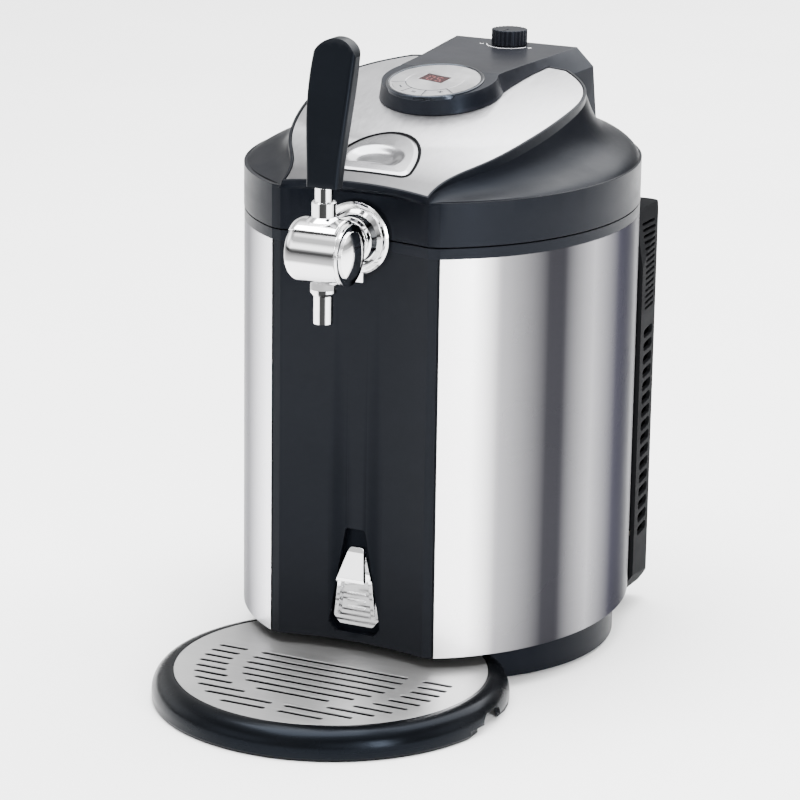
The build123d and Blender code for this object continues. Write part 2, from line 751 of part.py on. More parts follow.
with BuildPart() as tap_body:
    with BuildSketch(side_on(BARREL_LEFT)):
        with Locations((TAP_Y, TAP_Z)):
            Circle(TAP_R)
    extrude(amount=BARREL_RIGHT - BARREL_LEFT)
    fillet(tap_body.edges().filter_by(GeomType.CIRCLE).sort_by(Axis.X)[0], radius=BARREL_ROUND)
    fillet(tap_body.edges().filter_by(GeomType.CIRCLE).sort_by(Axis.X)[-1], radius=1.0)
    with BuildSketch(facing_front(-152)):
        with Locations((0, TAP_Z)):
            Circle(NECK_R)
    extrude(amount=-152 - TAP_Y - 8)
    with BuildSketch(level(SPOUT_TOP)):
        with Locations((0, TAP_Y)):
            Circle(8.75)
    extrude(amount=12)
    with BuildSketch(side_on(BORE_LEFT)):
        with Locations((TAP_Y, TAP_Z)):
            Circle(SPOOL_R + BORE_GAP)
    extrude(amount=60, mode=Mode.SUBTRACT)
    with BuildSketch(facing_front(-152)):
        with Locations((0, TAP_Z)):
            Circle(SHANK_R)
    extrude(amount=-152 - SHANK_FRONT_Y, mode=Mode.SUBTRACT)
    with BuildSketch(facing_front(SHANK_FRONT_Y)):
        with Locations((0, TAP_Z)):
            Circle(3.5)
    extrude(amount=20, mode=Mode.SUBTRACT)
    with BuildSketch(level(SPOUT_TOP - 5)):
        with Locations((0, TAP_Y)):
            Circle(3.5)
    extrude(amount=18, mode=Mode.SUBTRACT)
    with BuildSketch(side_on(-SLOT_HALF)):
        with BuildLine():
            Polyline(
                (TAP_Y + SLOT_HALF, TAP_Z + 5),
                (TAP_Y + SLOT_HALF, TAP_Z + 30),
                (
                    TAP_Y - 30 * sin(radians(LEVER_TRAVEL)) - SLOT_HALF * cos(radians(LEVER_TRAVEL)),
                    TAP_Z + 30 * cos(radians(LEVER_TRAVEL)) - SLOT_HALF * sin(radians(LEVER_TRAVEL)),
                ),
                (
                    TAP_Y - 5 * sin(radians(LEVER_TRAVEL)) - SLOT_HALF * cos(radians(LEVER_TRAVEL)),
                    TAP_Z + 5 * cos(radians(LEVER_TRAVEL)) - SLOT_HALF * sin(radians(LEVER_TRAVEL)),
                ),
                close=True,
            )
        make_face()
    extrude(amount=2 * SLOT_HALF, mode=Mode.SUBTRACT)
tap_body.part.label = "tap_body"
export_step(tap_body.part, "parts/tap_body.step")

SEAL_WIDE = 2.0
with BuildPart() as tap_seal:
    with BuildSketch(side_on(BARREL_RIGHT)):
        ring_sketch(TAP_R - 0.5, SPOOL_R - 1, at=(TAP_Y, TAP_Z))
    extrude(amount=SEAL_WIDE)
tap_seal.part.label = "tap_seal"
export_step(tap_seal.part, "parts/tap_seal.step")

CAP_X, CAP_HIGH, CAP_R, CAP_CROWN_R = BARREL_RIGHT + SEAL_WIDE, 4.6, 16.2, 40
with BuildPart() as tap_end_cap:
    with BuildSketch(side_on(CAP_X)):
        with Locations((TAP_Y, TAP_Z)):
            Circle(CAP_R)
    extrude(amount=CAP_HIGH)
    with Locations((CAP_X + CAP_HIGH - CAP_CROWN_R, AXIS_Y + TAP_Y, TAP_Z)):
        Sphere(CAP_CROWN_R, mode=Mode.INTERSECT)
tap_end_cap.part.label = "tap_end_cap"
export_step(tap_end_cap.part, "parts/tap_end_cap.step")

with BuildPart() as tap_spout:
    with BuildSketch(side_on(0)):
        with BuildLine():
            Polyline(
                (TAP_Y + 4.5, SPOUT_TOP),
                (TAP_Y + 8.75, SPOUT_TOP),
                (TAP_Y + 8.75, SPOUT_TOP - 2.2),
                (TAP_Y + 7.4, SPOUT_TOP - 4),
                (TAP_Y + SPOUT_R, SPOUT_TOP - 4.6),
                (TAP_Y + SPOUT_R, SPOUT_END),
                (TAP_Y + 4.5, SPOUT_END),
                close=True,
            )
        make_face()
    revolve(axis=Axis((0, AXIS_Y + TAP_Y, 0), (0, 0, 1)))
tap_spout.part.label = "tap_spout"
export_step(tap_spout.part, "parts/tap_spout.step")

with BuildPart() as valve_spool:
    with BuildSketch(side_on(BORE_LEFT + 0.6)):
        with Locations((TAP_Y, TAP_Z)):
            Circle(SPOOL_R)
    extrude(amount=BARREL_RIGHT - BORE_LEFT - 1.2)
    with BuildSketch(side_on(-2.5)):
        for port in (-LEVER_TRAVEL, -90 - LEVER_TRAVEL):
            with Locations((TAP_Y + 7 * cos(radians(port)), TAP_Z + 7 * sin(radians(port)))):
                Rectangle(18, 5, rotation=port)
    extrude(amount=5, mode=Mode.SUBTRACT)
    with BuildSketch(level(TAP_Z + 6)):
        with Locations((0, TAP_Y)):
            Circle(STEM_R)
    extrude(amount=10, mode=Mode.SUBTRACT)
valve_spool.part.label = "valve_spool"
export_step(valve_spool.part, "parts/valve_spool.step")

HUB_GAP, HUB_THICK = 0.35, 1.6
HUB_RIGHT = 16.0
HUB_TURN = 55.0
SLEEVE_R, SLEEVE_LOW, SLEEVE_HIGH = 8.2, TAP_Z + 24.5, 351.5


def on_end_round(clear, turn):
    """A point on the barrel's rounded end, moved out by a clearance."""
    turned = radians(turn)
    along = BARREL_LEFT + BARREL_ROUND - (BARREL_ROUND + clear) * sin(turned)
    return (along, TAP_Z + TAP_R - BARREL_ROUND + (BARREL_ROUND + clear) * cos(turned))


with BuildPart() as lever_hub:
    with BuildSketch(facing_front(TAP_Y)):
        with BuildLine():
            Line((HUB_RIGHT, TAP_Z + TAP_R + HUB_GAP), on_end_round(HUB_GAP, 0))
            ThreePointArc(
                on_end_round(HUB_GAP, 0),
                on_end_round(HUB_GAP, HUB_TURN / 2),
                on_end_round(HUB_GAP, HUB_TURN),
            )
            Line(on_end_round(HUB_GAP, HUB_TURN), on_end_round(HUB_GAP + HUB_THICK, HUB_TURN))
            ThreePointArc(
                on_end_round(HUB_GAP + HUB_THICK, HUB_TURN),
                on_end_round(HUB_GAP + HUB_THICK, HUB_TURN / 2),
                on_end_round(HUB_GAP + HUB_THICK, 0),
            )
            Polyline(
                on_end_round(HUB_GAP + HUB_THICK, 0),
                (HUB_RIGHT - 0.8, TAP_Z + TAP_R + HUB_GAP + HUB_THICK),
                (HUB_RIGHT, TAP_Z + TAP_R + HUB_GAP + HUB_THICK - 0.8),
                (HUB_RIGHT, TAP_Z + TAP_R + HUB_GAP),
            )
        make_face()
    revolve(axis=Axis((0, AXIS_Y + TAP_Y, TAP_Z), (1, 0, 0)))
    with BuildSketch(side_on(-30)):
        with BuildLine():
            Polyline(
                (TAP_Y, TAP_Z),
                (TAP_Y + 60 * sin(radians(50)), TAP_Z + 60 * cos(radians(50))),
                (TAP_Y, TAP_Z + 90),
                (TAP_Y - 60 * sin(radians(42)), TAP_Z + 60 * cos(radians(42))),
                close=True,
            )
        make_face()
    extrude(amount=60, mode=Mode.INTERSECT)
    with BuildSketch(side_on(0)):
        with BuildLine():
            Polyline(
                (TAP_Y, TAP_Z + TAP_R + 1),
                (TAP_Y, SLEEVE_LOW),
                (TAP_Y + SLEEVE_R, SLEEVE_LOW),
            )
            ThreePointArc(
                (TAP_Y + SLEEVE_R, SLEEVE_LOW),
                (TAP_Y + SLEEVE_R + 1.0, TAP_Z + TAP_R + 2.6),
                (TAP_Y + SLEEVE_R + 3.6, TAP_Z + TAP_R + 0.6),
            )
            Polyline(
                (TAP_Y + SLEEVE_R + 3.6, TAP_Z + TAP_R + 0.6),
                (TAP_Y + SLEEVE_R + 3.6, TAP_Z + TAP_R - 4),
                (TAP_Y, TAP_Z + TAP_R - 4),
                (TAP_Y, TAP_Z + TAP_R + 1),
            )
        make_face()
    revolve(axis=Axis((0, AXIS_Y + TAP_Y, 0), (0, 0, 1)))
    with BuildSketch(side_on(-30)):
        with Locations((TAP_Y, TAP_Z)):
            Circle(TAP_R + HUB_GAP)
    extrude(amount=60, mode=Mode.SUBTRACT)
    with BuildSketch(level(TAP_Z)):
        with Locations((0, TAP_Y)):
            Circle(STEM_R)
    extrude(amount=40, mode=Mode.SUBTRACT)
lever_hub.part.label = "lever_hub"
export_step(lever_hub.part, "parts/lever_hub.step")

ROD_R = 6.1
HANDLE_LOW = 361.0
with BuildPart() as tap_rod:
    with BuildSketch(level(TAP_Z + 6)):
        with Locations((0, TAP_Y)):
            Circle(STEM_R)
    extrude(amount=SLEEVE_HIGH - TAP_Z - 6)
    with BuildSketch(level(SLEEVE_HIGH)):
        with Locations((0, TAP_Y)):
            Circle(ROD_R)
    extrude(amount=HANDLE_LOW - SLEEVE_HIGH)
    with BuildSketch(level(HANDLE_LOW)):
        with Locations((0, TAP_Y)):
            Circle(4)
    extrude(amount=7)
tap_rod.part.label = "tap_rod"
export_step(tap_rod.part, "parts/tap_rod.step")

with BuildPart() as tap_sleeve:
    with BuildSketch(level(SLEEVE_LOW)):
        ring_sketch(SLEEVE_R, STEM_R, at=(0, TAP_Y))
    extrude(amount=SLEEVE_HIGH - SLEEVE_LOW)
    chamfer(tap_sleeve.faces().sort_by(Axis.Z)[-1].edges(), length=0.6)
tap_sleeve.part.label = "tap_sleeve"
export_step(tap_sleeve.part, "parts/tap_sleeve.step")

HANDLE_TOP = 457.5
# Each station: height, y of the middle, half width, half thickness.
HANDLE_STATIONS = (
    (HANDLE_LOW, -186.5, 11.6, 5.6),
    (390, -183.0, 13.6, 6.0),
    (420, -177.5, 15.6, 6.3),
    (445, -170.5, 15.6, 5.8),
)
with BuildPart() as tap_handle:
    for height, middle_y, half_wide, half_thick in HANDLE_STATIONS:
        with BuildSketch(level(height)):
            with Locations((0, middle_y)):
                RectangleRounded(2 * half_wide, 2 * half_thick, 3)
    with BuildSketch(level(HANDLE_TOP)):
        with Locations((0, -166.5)):
            RectangleRounded(30, 9.5, 3)
    loft()
    with BuildSketch(facing_front(-150)):
        with BuildLine():
            Polyline((-30, HANDLE_LOW - 5), (30, HANDLE_LOW - 5), (30, 441))
            ThreePointArc((30, 441), (0, HANDLE_TOP), (-30, 441))
            Line((-30, 441), (-30, HANDLE_LOW - 5))
        make_face()
    extrude(amount=60, mode=Mode.INTERSECT)
    with BuildSketch(facing_front(-150)):
        with BuildLine():
            Polyline((-16.5, HANDLE_LOW - 5), (16.5, HANDLE_LOW - 5), (16.5, 440))
            ThreePointArc((16.5, 440), (0, HANDLE_TOP - 0.5), (-16.5, 440))
            Line((-16.5, 440), (-16.5, HANDLE_LOW - 5))
        make_face()
    extrude(amount=60, mode=Mode.INTERSECT)
    with BuildSketch(level(HANDLE_LOW)):
        with Locations((0, TAP_Y)):
            Circle(4)
    extrude(amount=7, mode=Mode.SUBTRACT)
tap_handle.part.label = "tap_handle"
export_step(tap_handle.part, "parts/tap_handle.step")

# ---------------------------------------------------------------- drip tray
GRID_LOW = TRAY_TOP - 1.0
NOTCH_Y = -172.0
with BuildPart() as tray_bowl:
    with BuildSketch(side_on(0)):
        with BuildLine():
            Polyline(
                (TRAY_Y, 0),
                (TRAY_Y + TRAY_R - 1.5, 0),
                (TRAY_Y + TRAY_R, 2.5),
                (TRAY_Y + TRAY_R, 6),
            )
            ThreePointArc(
                (TRAY_Y + TRAY_R, 6),
                (TRAY_Y + TRAY_R - 3.6, 16),
                (TRAY_Y + TRAY_R - 13, TRAY_TOP),
            )
            Polyline(
                (TRAY_Y + TRAY_R - 13, TRAY_TOP),
                (TRAY_Y + GRID_R + 0.4, TRAY_TOP),
                (TRAY_Y + GRID_R + 0.4, GRID_LOW),
                (TRAY_Y + GRID_R - 4, GRID_LOW),
                (TRAY_Y + GRID_R - 8, 2.6),
                (TRAY_Y, 2.6),
                (TRAY_Y, 0),
            )
        make_face()
        with BuildLine():
            Polyline(
                (TRAY_Y + GRID_R + 1.5, -1),
                (TRAY_Y + TRAY_R - 4, -1),
                (TRAY_Y + TRAY_R - 4, 10),
                (TRAY_Y + TRAY_R - 8, 15),
                (TRAY_Y + GRID_R + 2.5, 17),
                close=True,
            )
        make_face(mode=Mode.SUBTRACT)
    revolve(axis=Axis((0, AXIS_Y + TRAY_Y, 0), (0, 0, 1)))
    with BuildSketch(level(0)):
        box_sketch((-140, TRAY_Y - 140), (140, TRAY_REAR_Y - 0.5))
    extrude(amount=40, mode=Mode.INTERSECT)
    with BuildSketch(level(0)):
        with Locations((0, TRAY_Y)):
            Circle(GRID_R - 2)
        box_sketch((-140, TRAY_REAR_Y - 3), (140, TRAY_REAR_Y - 0.5), mode=Mode.INTERSECT)
    extrude(amount=GRID_LOW)
    for side in (-1, 1):
        with BuildSketch(side_on(side * (TRAY_R - 5))):
            with Locations((NOTCH_Y, 5.5)):
                SlotOverall(25, 13)
        extrude(amount=side * 20, mode=Mode.SUBTRACT)
        with BuildSketch(side_on(side * (TRAY_R - 5))):
            box_sketch((NOTCH_Y - 28, -1), (-90, 5.5))
        extrude(amount=side * 20, mode=Mode.SUBTRACT)
tray_bowl.part.label = "tray_bowl"
export_step(tray_bowl.part, "parts/tray_bowl.step")

SLOT_WIDE = 3.0
ROW_PITCH, ROW_COUNT, FIRST_ROW = 10.4, 10, 12.0
INNER_R, GAP_R, OUTER_R, BRIDGE = 57.6, 68.0, 90.3, 4.3
PATTERN_Y = TRAY_Y - 7.0


def chord(radius, y):
    """Half chord of a circle at distance y from its centre, or 0 outside it."""
    return sqrt(max(radius * radius - y * y, 0))


with BuildPart() as drip_grid:
    with BuildSketch(level(GRID_LOW)):
        with Locations((0, TRAY_Y)):
            Circle(GRID_R)
        box_sketch((-140, TRAY_Y - 140), (140, TRAY_REAR_Y - 3.5), mode=Mode.INTERSECT)
    extrude(amount=0.9)
    with BuildSketch(level(GRID_LOW - 1)):
        for row in range(ROW_COUNT):
            row_y = FIRST_ROW - row * ROW_PITCH
            inner = chord(INNER_R, row_y)
            gap = max(chord(GAP_R, row_y), BRIDGE)
            outer = chord(OUTER_R, row_y)
            if inner > 15:
                with Locations((0, PATTERN_Y + row_y)):
                    SlotOverall(2 * inner, SLOT_WIDE)
            with Locations(
                (-(gap + outer) / 2, PATTERN_Y + row_y),
                ((gap + outer) / 2, PATTERN_Y + row_y),
            ):
                SlotOverall(outer - gap, SLOT_WIDE)
    extrude(amount=4, mode=Mode.SUBTRACT)
drip_grid.part.label = "drip_grid"
export_step(drip_grid.part, "parts/drip_grid.step")

# ---------------------------------------------------------------- hinge
HINGE_AXIS_Y = AXIS_Y + HINGE_Y
with BuildPart() as hinge_bracket:
    with BuildSketch(side_on(30)):
        with Locations((HINGE_Y, HINGE_Z)):
            Circle(HINGE_R)
        box_sketch((REAR_Y, 300), (REAR_Y + 2, 316))
        box_sketch((REAR_Y + 1, 309), (HINGE_Y + 1, HINGE_Z))
        with Locations((HINGE_Y, HINGE_Z)):
            Circle(2, mode=Mode.SUBTRACT)
    extrude(amount=20)
    mirror(about=Plane.YZ)
    with BuildSketch(side_on(-50)):
        box_sketch((REAR_Y, 300), (REAR_Y + 2, HINGE_Z - HINGE_R - 0.6))
    extrude(amount=100)
hinge_bracket.part.label = "hinge_bracket"
export_step(hinge_bracket.part, "parts/hinge_bracket.step")

with BuildPart() as hinge_pin:
    with BuildSketch(side_on(-50)):
        with Locations((HINGE_Y, HINGE_Z)):
            Circle(2)
    extrude(amount=100)
hinge_pin.part.label = "hinge_pin"
export_step(hinge_pin.part, "parts/hinge_pin.step")

# ---------------------------------------------------------------- lid
DOME_SLOPE = 0.2262
DOME_FRONT_Y, DOME_RISE = -140.0, 3.9
DOME_REAR_Y = 72.0
PLATE_GAP = 0.8
BAND_GROW = 0.25
DOME_LEDGE, DOME_SINK = 0.7, 1.6
# Each station: x and y of a point on the steel plate's edge, then the angle round the body's side
# curve, from the front, that the flare runs down to.
PLATE_STATIONS = (
    (52.8, -140, 24.7),
    (58.5, -117, 38),
    (72, -94, 51),
    (85, -60, 65),
    (91, -33, 76),
    (94, -4, 88),
    (93, 22, 100),
    (84, 46, 113),
    (72, 61, 127),
    (60, 72, 142.1),
)
# Each pair: share of the dome's height, share of the way in from the band to the plate.
DOME_PROFILE = ((0, 0), (0.2, 0.22), (0.37, 0.57), (0.6, 0.8), (1, 1))


def sloped(y, z, slope):
    """Plane through a point on the middle, rising towards the rear; local y is rearwards."""
    return Plane(origin=(0, AXIS_Y + y, z), x_dir=(1, 0, 0), z_dir=(0, -slope, 1))


def pushed_out(points, grow):
    """Move every point of a right-hand side curve outwards, square to the curve."""
    moved = []
    for i, (x, y) in enumerate(points):
        ahead = points[min(i + 1, len(points) - 1)]
        behind = points[max(i - 1, 0)]
        run, rise = ahead[0] - behind[0], ahead[1] - behind[1]
        length = sqrt(run * run + rise * rise)
        moved.append((x + grow * rise / length, y - grow * run / length))
    moved[0] = (points[0][0] + 0.7 * grow, points[0][1] - grow)
    moved[-1] = (points[-1][0] + 0.7 * grow, points[-1][1] + grow)
    return moved


def closed_outline(side, front_y, stretch=1.0, zero_y=0.0):
    """Sketch a symmetric outline from its right-hand side points and its front middle."""
    right = [(x, (y - zero_y) * stretch) for x, y in side]
    left = [(-x, y) for x, y in right]
    with BuildLine() as outline:
        Spline(*right)
        Line(right[-1], left[-1])
        Spline(*reversed(left))
        ThreePointArc(left[0], (0, (front_y - zero_y) * stretch), right[0])
    make_face(outline.edges())


def plate_outline(grow):
    """Sketch the steel plate's outline, or one that is larger by a given amount."""
    side = pushed_out([(x, y) for x, y, angle in PLATE_STATIONS], grow)
    closed_outline(side, DOME_FRONT_Y + 2.6 - grow)


def dome_solid(inset, crown_r):
    """The lid's flared dome as a solid, cut by the crown of the steel plate."""
    plate_side = pushed_out([(x, y) for x, y, angle in PLATE_STATIONS], PLATE_GAP + RIM)
    with BuildPart() as dome:
        for rise, draw in DOME_PROFILE:
            slope = DOME_SLOPE * rise
            side = []
            for (plate_x, plate_y), (x, y, angle) in zip(plate_side, PLATE_STATIONS):
                band_x = (BODY_HALF + BAND_GROW) * sin(radians(angle))
                band_y = -(BODY_LONG + BAND_GROW) * cos(radians(angle))
                side.append(
                    (band_x + draw * (plate_x - band_x), band_y + draw * (plate_y - band_y))
                )
            shrink = inset + DOME_LEDGE * (1 - draw)
            foot = DOME_SINK * (1 - rise)
            with BuildSketch(sloped(DOME_FRONT_Y, BAND_TOP - foot + DOME_RISE * rise, slope)):
                closed_outline(
                    pushed_out(side, -shrink),
                    -135.2 - 4.7 * draw + shrink,
                    stretch=sqrt(1 + slope * slope),
                    zero_y=DOME_FRONT_Y,
                )
        loft()
        extrude(dome.faces().sort_by(Axis.Z)[-1], amount=18, dir=(0, 0, 1))
        with Locations((0, AXIS_Y + PLATE_CENTRE_Y, PLATE_CENTRE_Z)):
            Sphere(crown_r, mode=Mode.INTERSECT)
    return dome.part


def button_outline(grow):
    """Sketch the release button's outline: straight at the front, half an ellipse behind."""
    with BuildLine() as button:
        EllipticalCenterArc(
            (0, BUTTON_Y + 5),
            BUTTON_HALF + grow,
            BUTTON_DEEP - 5 + grow,
            start_angle=0,
            arc_size=180,
        )
        FilletPolyline(
            (-BUTTON_HALF - grow, BUTTON_Y + 5),
            (-BUTTON_HALF - grow, BUTTON_Y - grow),
            (BUTTON_HALF + grow, BUTTON_Y - grow),
            (BUTTON_HALF + grow, BUTTON_Y + 5),
            radius=4.5 + grow,
        )
    make_face(button.edges())


dome_outer = dome_solid(0, PLATE_R + 0.5)
dome_inner = dome_solid(3, PLATE_R - 4.5)

CROWN_AT = (0, AXIS_Y + PLATE_CENTRE_Y, PLATE_CENTRE_Z)
OPEN_HALF, OPEN_FRONT_Y, OPEN_REAR_Y = 34.0, -30.0, 92.0
RING_WIDE = 2.0            # black ring round the release button

with BuildPart() as plate_pocket:
    with BuildSketch(level(345)):
        plate_outline(PLATE_GAP)
    extrude(amount=75)
    with Locations(CROWN_AT):
        Sphere(PLATE_R - PLATE_THICK - 0.1, mode=Mode.SUBTRACT)

with BuildPart() as lid_shell:
    with BuildSketch(level(BAND_LOW)):
        add(body_plan(BAND_GROW))
    extrude(amount=BAND_TOP - BAND_LOW)
    add(dome_outer)
    with BuildSketch(level(BAND_LOW)):
        add(body_plan(BAND_GROW - 3))
    extrude(amount=BAND_TOP - BAND_LOW, mode=Mode.SUBTRACT)
    add(dome_inner, mode=Mode.SUBTRACT)
    add(plate_pocket.part, mode=Mode.SUBTRACT)
    with BuildSketch(side_on(-29.5)):
        with Locations((HINGE_Y, HINGE_Z)):
            Circle(HINGE_R)
        box_sketch((REAR_Y - 1, HINGE_Z + 1), (HINGE_Y, HINGE_Z + 10))
    extrude(amount=59)
    with BuildSketch(side_on(-60)):
        with Locations((HINGE_Y, HINGE_Z)):
            Circle(2.05)
    extrude(amount=120, mode=Mode.SUBTRACT)
    with BuildSketch(facing_front(-100)):
        with Locations((0, TAP_Z)):
            Circle(12.6)
        box_sketch((-12.6, 300), (12.6, TAP_Z))
    extrude(amount=60, mode=Mode.SUBTRACT)
    with BuildSketch(level(350)):
        box_sketch((-OPEN_HALF, OPEN_FRONT_Y), (OPEN_HALF, OPEN_REAR_Y))
        button_outline(RING_WIDE + 0.05)
    extrude(amount=80, mode=Mode.SUBTRACT)
lid_shell.part.label = "lid_shell"
export_step(lid_shell.part, "parts/lid_shell.step")

with BuildPart() as lid_plate:
    with BuildSketch(level(345)):
        plate_outline(0)
    extrude(amount=75)
    with Locations(CROWN_AT):
        Sphere(PLATE_R, mode=Mode.INTERSECT)
        Sphere(PLATE_R - PLATE_THICK, mode=Mode.SUBTRACT)
    with BuildSketch(level(345)):
        box_sketch((-OPEN_HALF, OPEN_FRONT_Y), (OPEN_HALF, OPEN_REAR_Y))
        button_outline(RING_WIDE + 0.05)
    extrude(amount=80, mode=Mode.SUBTRACT)
lid_plate.part.label = "lid_plate"
export_step(lid_plate.part, "parts/lid_plate.step")

LINER_Z = 338.0
with BuildPart() as lid_liner:
    with BuildSketch(level(LINER_Z)):
        add(body_plan(BAND_GROW - 3))
        with Locations((0, WELL_Y)):
            Circle(6, mode=Mode.SUBTRACT)
        with Locations((-35, -130), (35, -130)):
            Rectangle(9, 8, mode=Mode.SUBTRACT)
    extrude(amount=2.5)
    with BuildSketch(level(GASKET_HIGH + 0.3)):
        ring_sketch(WELL_R + 8, WELL_R + 5, at=(0, WELL_Y))
    extrude(amount=LINER_Z - GASKET_HIGH - 0.3)
    with BuildSketch(facing_front(-80)):
        box_sketch((-22, 300), (22, TAP_Z + 16))
    extrude(amount=60, mode=Mode.SUBTRACT)
lid_liner.part.label = "lid_liner"
export_step(lid_liner.part, "parts/lid_liner.step")

# ---------------------------------------------------------------- release button and latch
CUP_LOW = 347.0
STEM_Y = -106.0
with BuildPart() as button_housing:
    with BuildSketch(level(CUP_LOW)):
        button_outline(RING_WIDE)
    extrude(amount=70)
    with Locations(CROWN_AT):
        Sphere(PLATE_R + 0.4, mode=Mode.INTERSECT)
    with BuildSketch(level(CUP_LOW + 2.5)):
        button_outline(0.5)
    extrude(amount=70, mode=Mode.SUBTRACT)
    with BuildSketch(level(CUP_LOW - 1)):
        with Locations((0, STEM_Y)):
            Circle(3.4)
    extrude(amount=10, mode=Mode.SUBTRACT)
button_housing.part.label = "button_housing"
export_step(button_housing.part, "parts/button_housing.step")

with BuildPart() as button_void:
    with BuildSketch(level(CUP_LOW)):
        button_outline(-1.6)
    extrude(amount=70)
    with Locations(CROWN_AT):
        Sphere(PLATE_R - 5, mode=Mode.INTERSECT)

with BuildPart() as lid_button:
    with BuildSketch(level(CUP_LOW + 6)):
        button_outline(0)
    extrude(amount=64)
    with Locations(CROWN_AT):
        Sphere(PLATE_R + 0.9, mode=Mode.INTERSECT)
    add(button_void.part, mode=Mode.SUBTRACT)
    with BuildSketch(level(CUP_LOW - 0.4)):
        with Locations((0, STEM_Y)):
            Circle(3)
    extrude(amount=15)
lid_button.part.label = "lid_button"
export_step(lid_button.part, "parts/lid_button.step")

with BuildPart() as button_spring:
    with BuildLine():
        Helix(
            pitch=2.1,
            height=8.4,
            radius=5.2,
            center=(0, AXIS_Y + STEM_Y, CUP_LOW + 2.95),
        )
    with BuildSketch(Plane(origin=(5.2, AXIS_Y + STEM_Y, CUP_LOW + 2.95), z_dir=(0, 1, 0))):
        Circle(0.4)
    sweep()
button_spring.part.label = "button_spring"
export_step(button_spring.part, "parts/button_spring.step")

with BuildPart() as latch_bolt:
    with BuildSketch(level(341)):
        box_sketch((-10, -128), (10, -97))
        box_sketch((-38, -129.8), (38, -127))
        box_sketch((-5, -111), (5, -100.5), mode=Mode.SUBTRACT)
    extrude(amount=5)
    for side in (-1, 1):
        with BuildSketch(side_on(side * 35 - 3)):
            with BuildLine():
                Polyline(
                    (-131, 342),
                    (-131, 320),
                    (-128.6, 320),
                    (-127.2, 322.4),
                    (-127.2, 325),
                    (-129, 326),
                    (-129, 342),
                    close=True,
                )
            make_face()
        extrude(amount=6)
latch_bolt.part.label = "latch_bolt"
export_step(latch_bolt.part, "parts/latch_bolt.step")

# ---------------------------------------------------------------- control console
CONSOLE_STEP_Z, CONSOLE_STEP_SLOPE = 397.0, 0.0655
# Each section: right-hand side points from the nose to the rear, then the nose's front y.
CONSOLE_LOW = (((45.5, 5), (50, 40), (60, 85), (66, CONSOLE_REAR_Y)), -49.3)
CONSOLE_STEP = (((44, 5), (48.5, 40), (55.5, 85), (61, CONSOLE_REAR_Y)), -49.1)
CONSOLE_TOP = (((37.5, 5), (39.7, 40), (44.2, 85), (47.8, CONSOLE_REAR_Y)), -49.5)


def console_outline(section, inset, slope, zero_y):
    """Sketch one section of the console."""
    points, nose_y = section
    side = [(x - inset, y) for x, y in points]
    side[-1] = (side[-1][0], points[-1][1] - inset)
    closed_outline(side, nose_y + inset, stretch=sqrt(1 + slope * slope), zero_y=zero_y)


def console_solid(inset):
    """The console as a solid from inside the lid to its top, before the nose is cut."""
    top_slope = tan(radians(CONSOLE_SLOPE))
    with BuildPart() as block:
        with BuildSketch(level(340)):
            console_outline(CONSOLE_LOW, inset, 0, 0)
        with BuildSketch(sloped(CONSOLE_REAR_Y, CONSOLE_STEP_Z, CONSOLE_STEP_SLOPE)):
            console_outline(CONSOLE_STEP, inset, CONSOLE_STEP_SLOPE, CONSOLE_REAR_Y)
        with BuildSketch(sloped(CONSOLE_REAR_Y, CONSOLE_REAR_Z - inset, top_slope)):
            console_outline(CONSOLE_TOP, inset, top_slope, CONSOLE_REAR_Y)
        loft(ruled=True)
    return block.part


def on_disc(depth):
    """Plane parallel to the control disc's face, a given distance along its normal."""
    tilt = radians(DISC_TILT)
    return Plane(
        origin=(0, AXIS_Y + DISC_Y - depth * sin(tilt), DISC_Z + depth * cos(tilt)),
        x_dir=(1, 0, 0),
        z_dir=(0, -sin(tilt), cos(tilt)),
    )


console_outer = console_solid(0)
console_inner = console_solid(2.5)
BEZEL_OUT, BEZEL_IN = 34.6, 31.8
LEDGE_R = 30.5

with BuildPart() as console_void:
    add(console_inner)
    with BuildSketch(on_disc(-4.5)):
        Rectangle(400, 600)
    extrude(amount=-200, mode=Mode.INTERSECT)

with BuildPart() as console_housing:
    add(console_outer)
    with BuildSketch(on_disc(0)):
        Rectangle(400, 600)
    extrude(amount=-200, mode=Mode.INTERSECT)
    add(console_void.part, mode=Mode.SUBTRACT)
    add(dome_outer, mode=Mode.SUBTRACT)
    with BuildSketch(level(340)):
        Rectangle(400, 600)
    extrude(amount=BAND_TOP - 340 + 0.05, mode=Mode.SUBTRACT)
    with BuildSketch(on_disc(-2)):
        Circle(BEZEL_OUT)
    extrude(amount=20, mode=Mode.SUBTRACT)
    with BuildSketch(on_disc(-10)):
        Circle(LEDGE_R)
    extrude(amount=20, mode=Mode.SUBTRACT)
    with BuildSketch(level(400)):
        with Locations((0, KNOB_Y)):
            Circle(3.4)
    extrude(amount=20, mode=Mode.SUBTRACT)
console_housing.part.label = "console_housing"
export_step(console_housing.part, "parts/console_housing.step")

with BuildPart() as panel_bezel:
    with BuildSketch(on_disc(-2)):
        Circle(BEZEL_OUT)
        Circle(BEZEL_IN, mode=Mode.SUBTRACT)
    extrude(amount=3.1)
    fillet(panel_bezel.faces().filter_by(GeomType.PLANE).sort_by(Axis.Z)[-1].edges(), radius=0.8)
panel_bezel.part.label = "panel_bezel"
export_step(panel_bezel.part, "parts/panel_bezel.step")

KEY_IN, KEY_OUT, KEY_GAP = 20.4, 30.2, 0.3
# Each key: name, then where it starts and ends, in degrees from the front of the disc.
KEYS = (("minus_button", -68, -28.5), ("set_button", -26.5, 6), ("plus_button", 8, 47))
WINDOW_AT, WINDOW_TURN = (-2, 4), -12


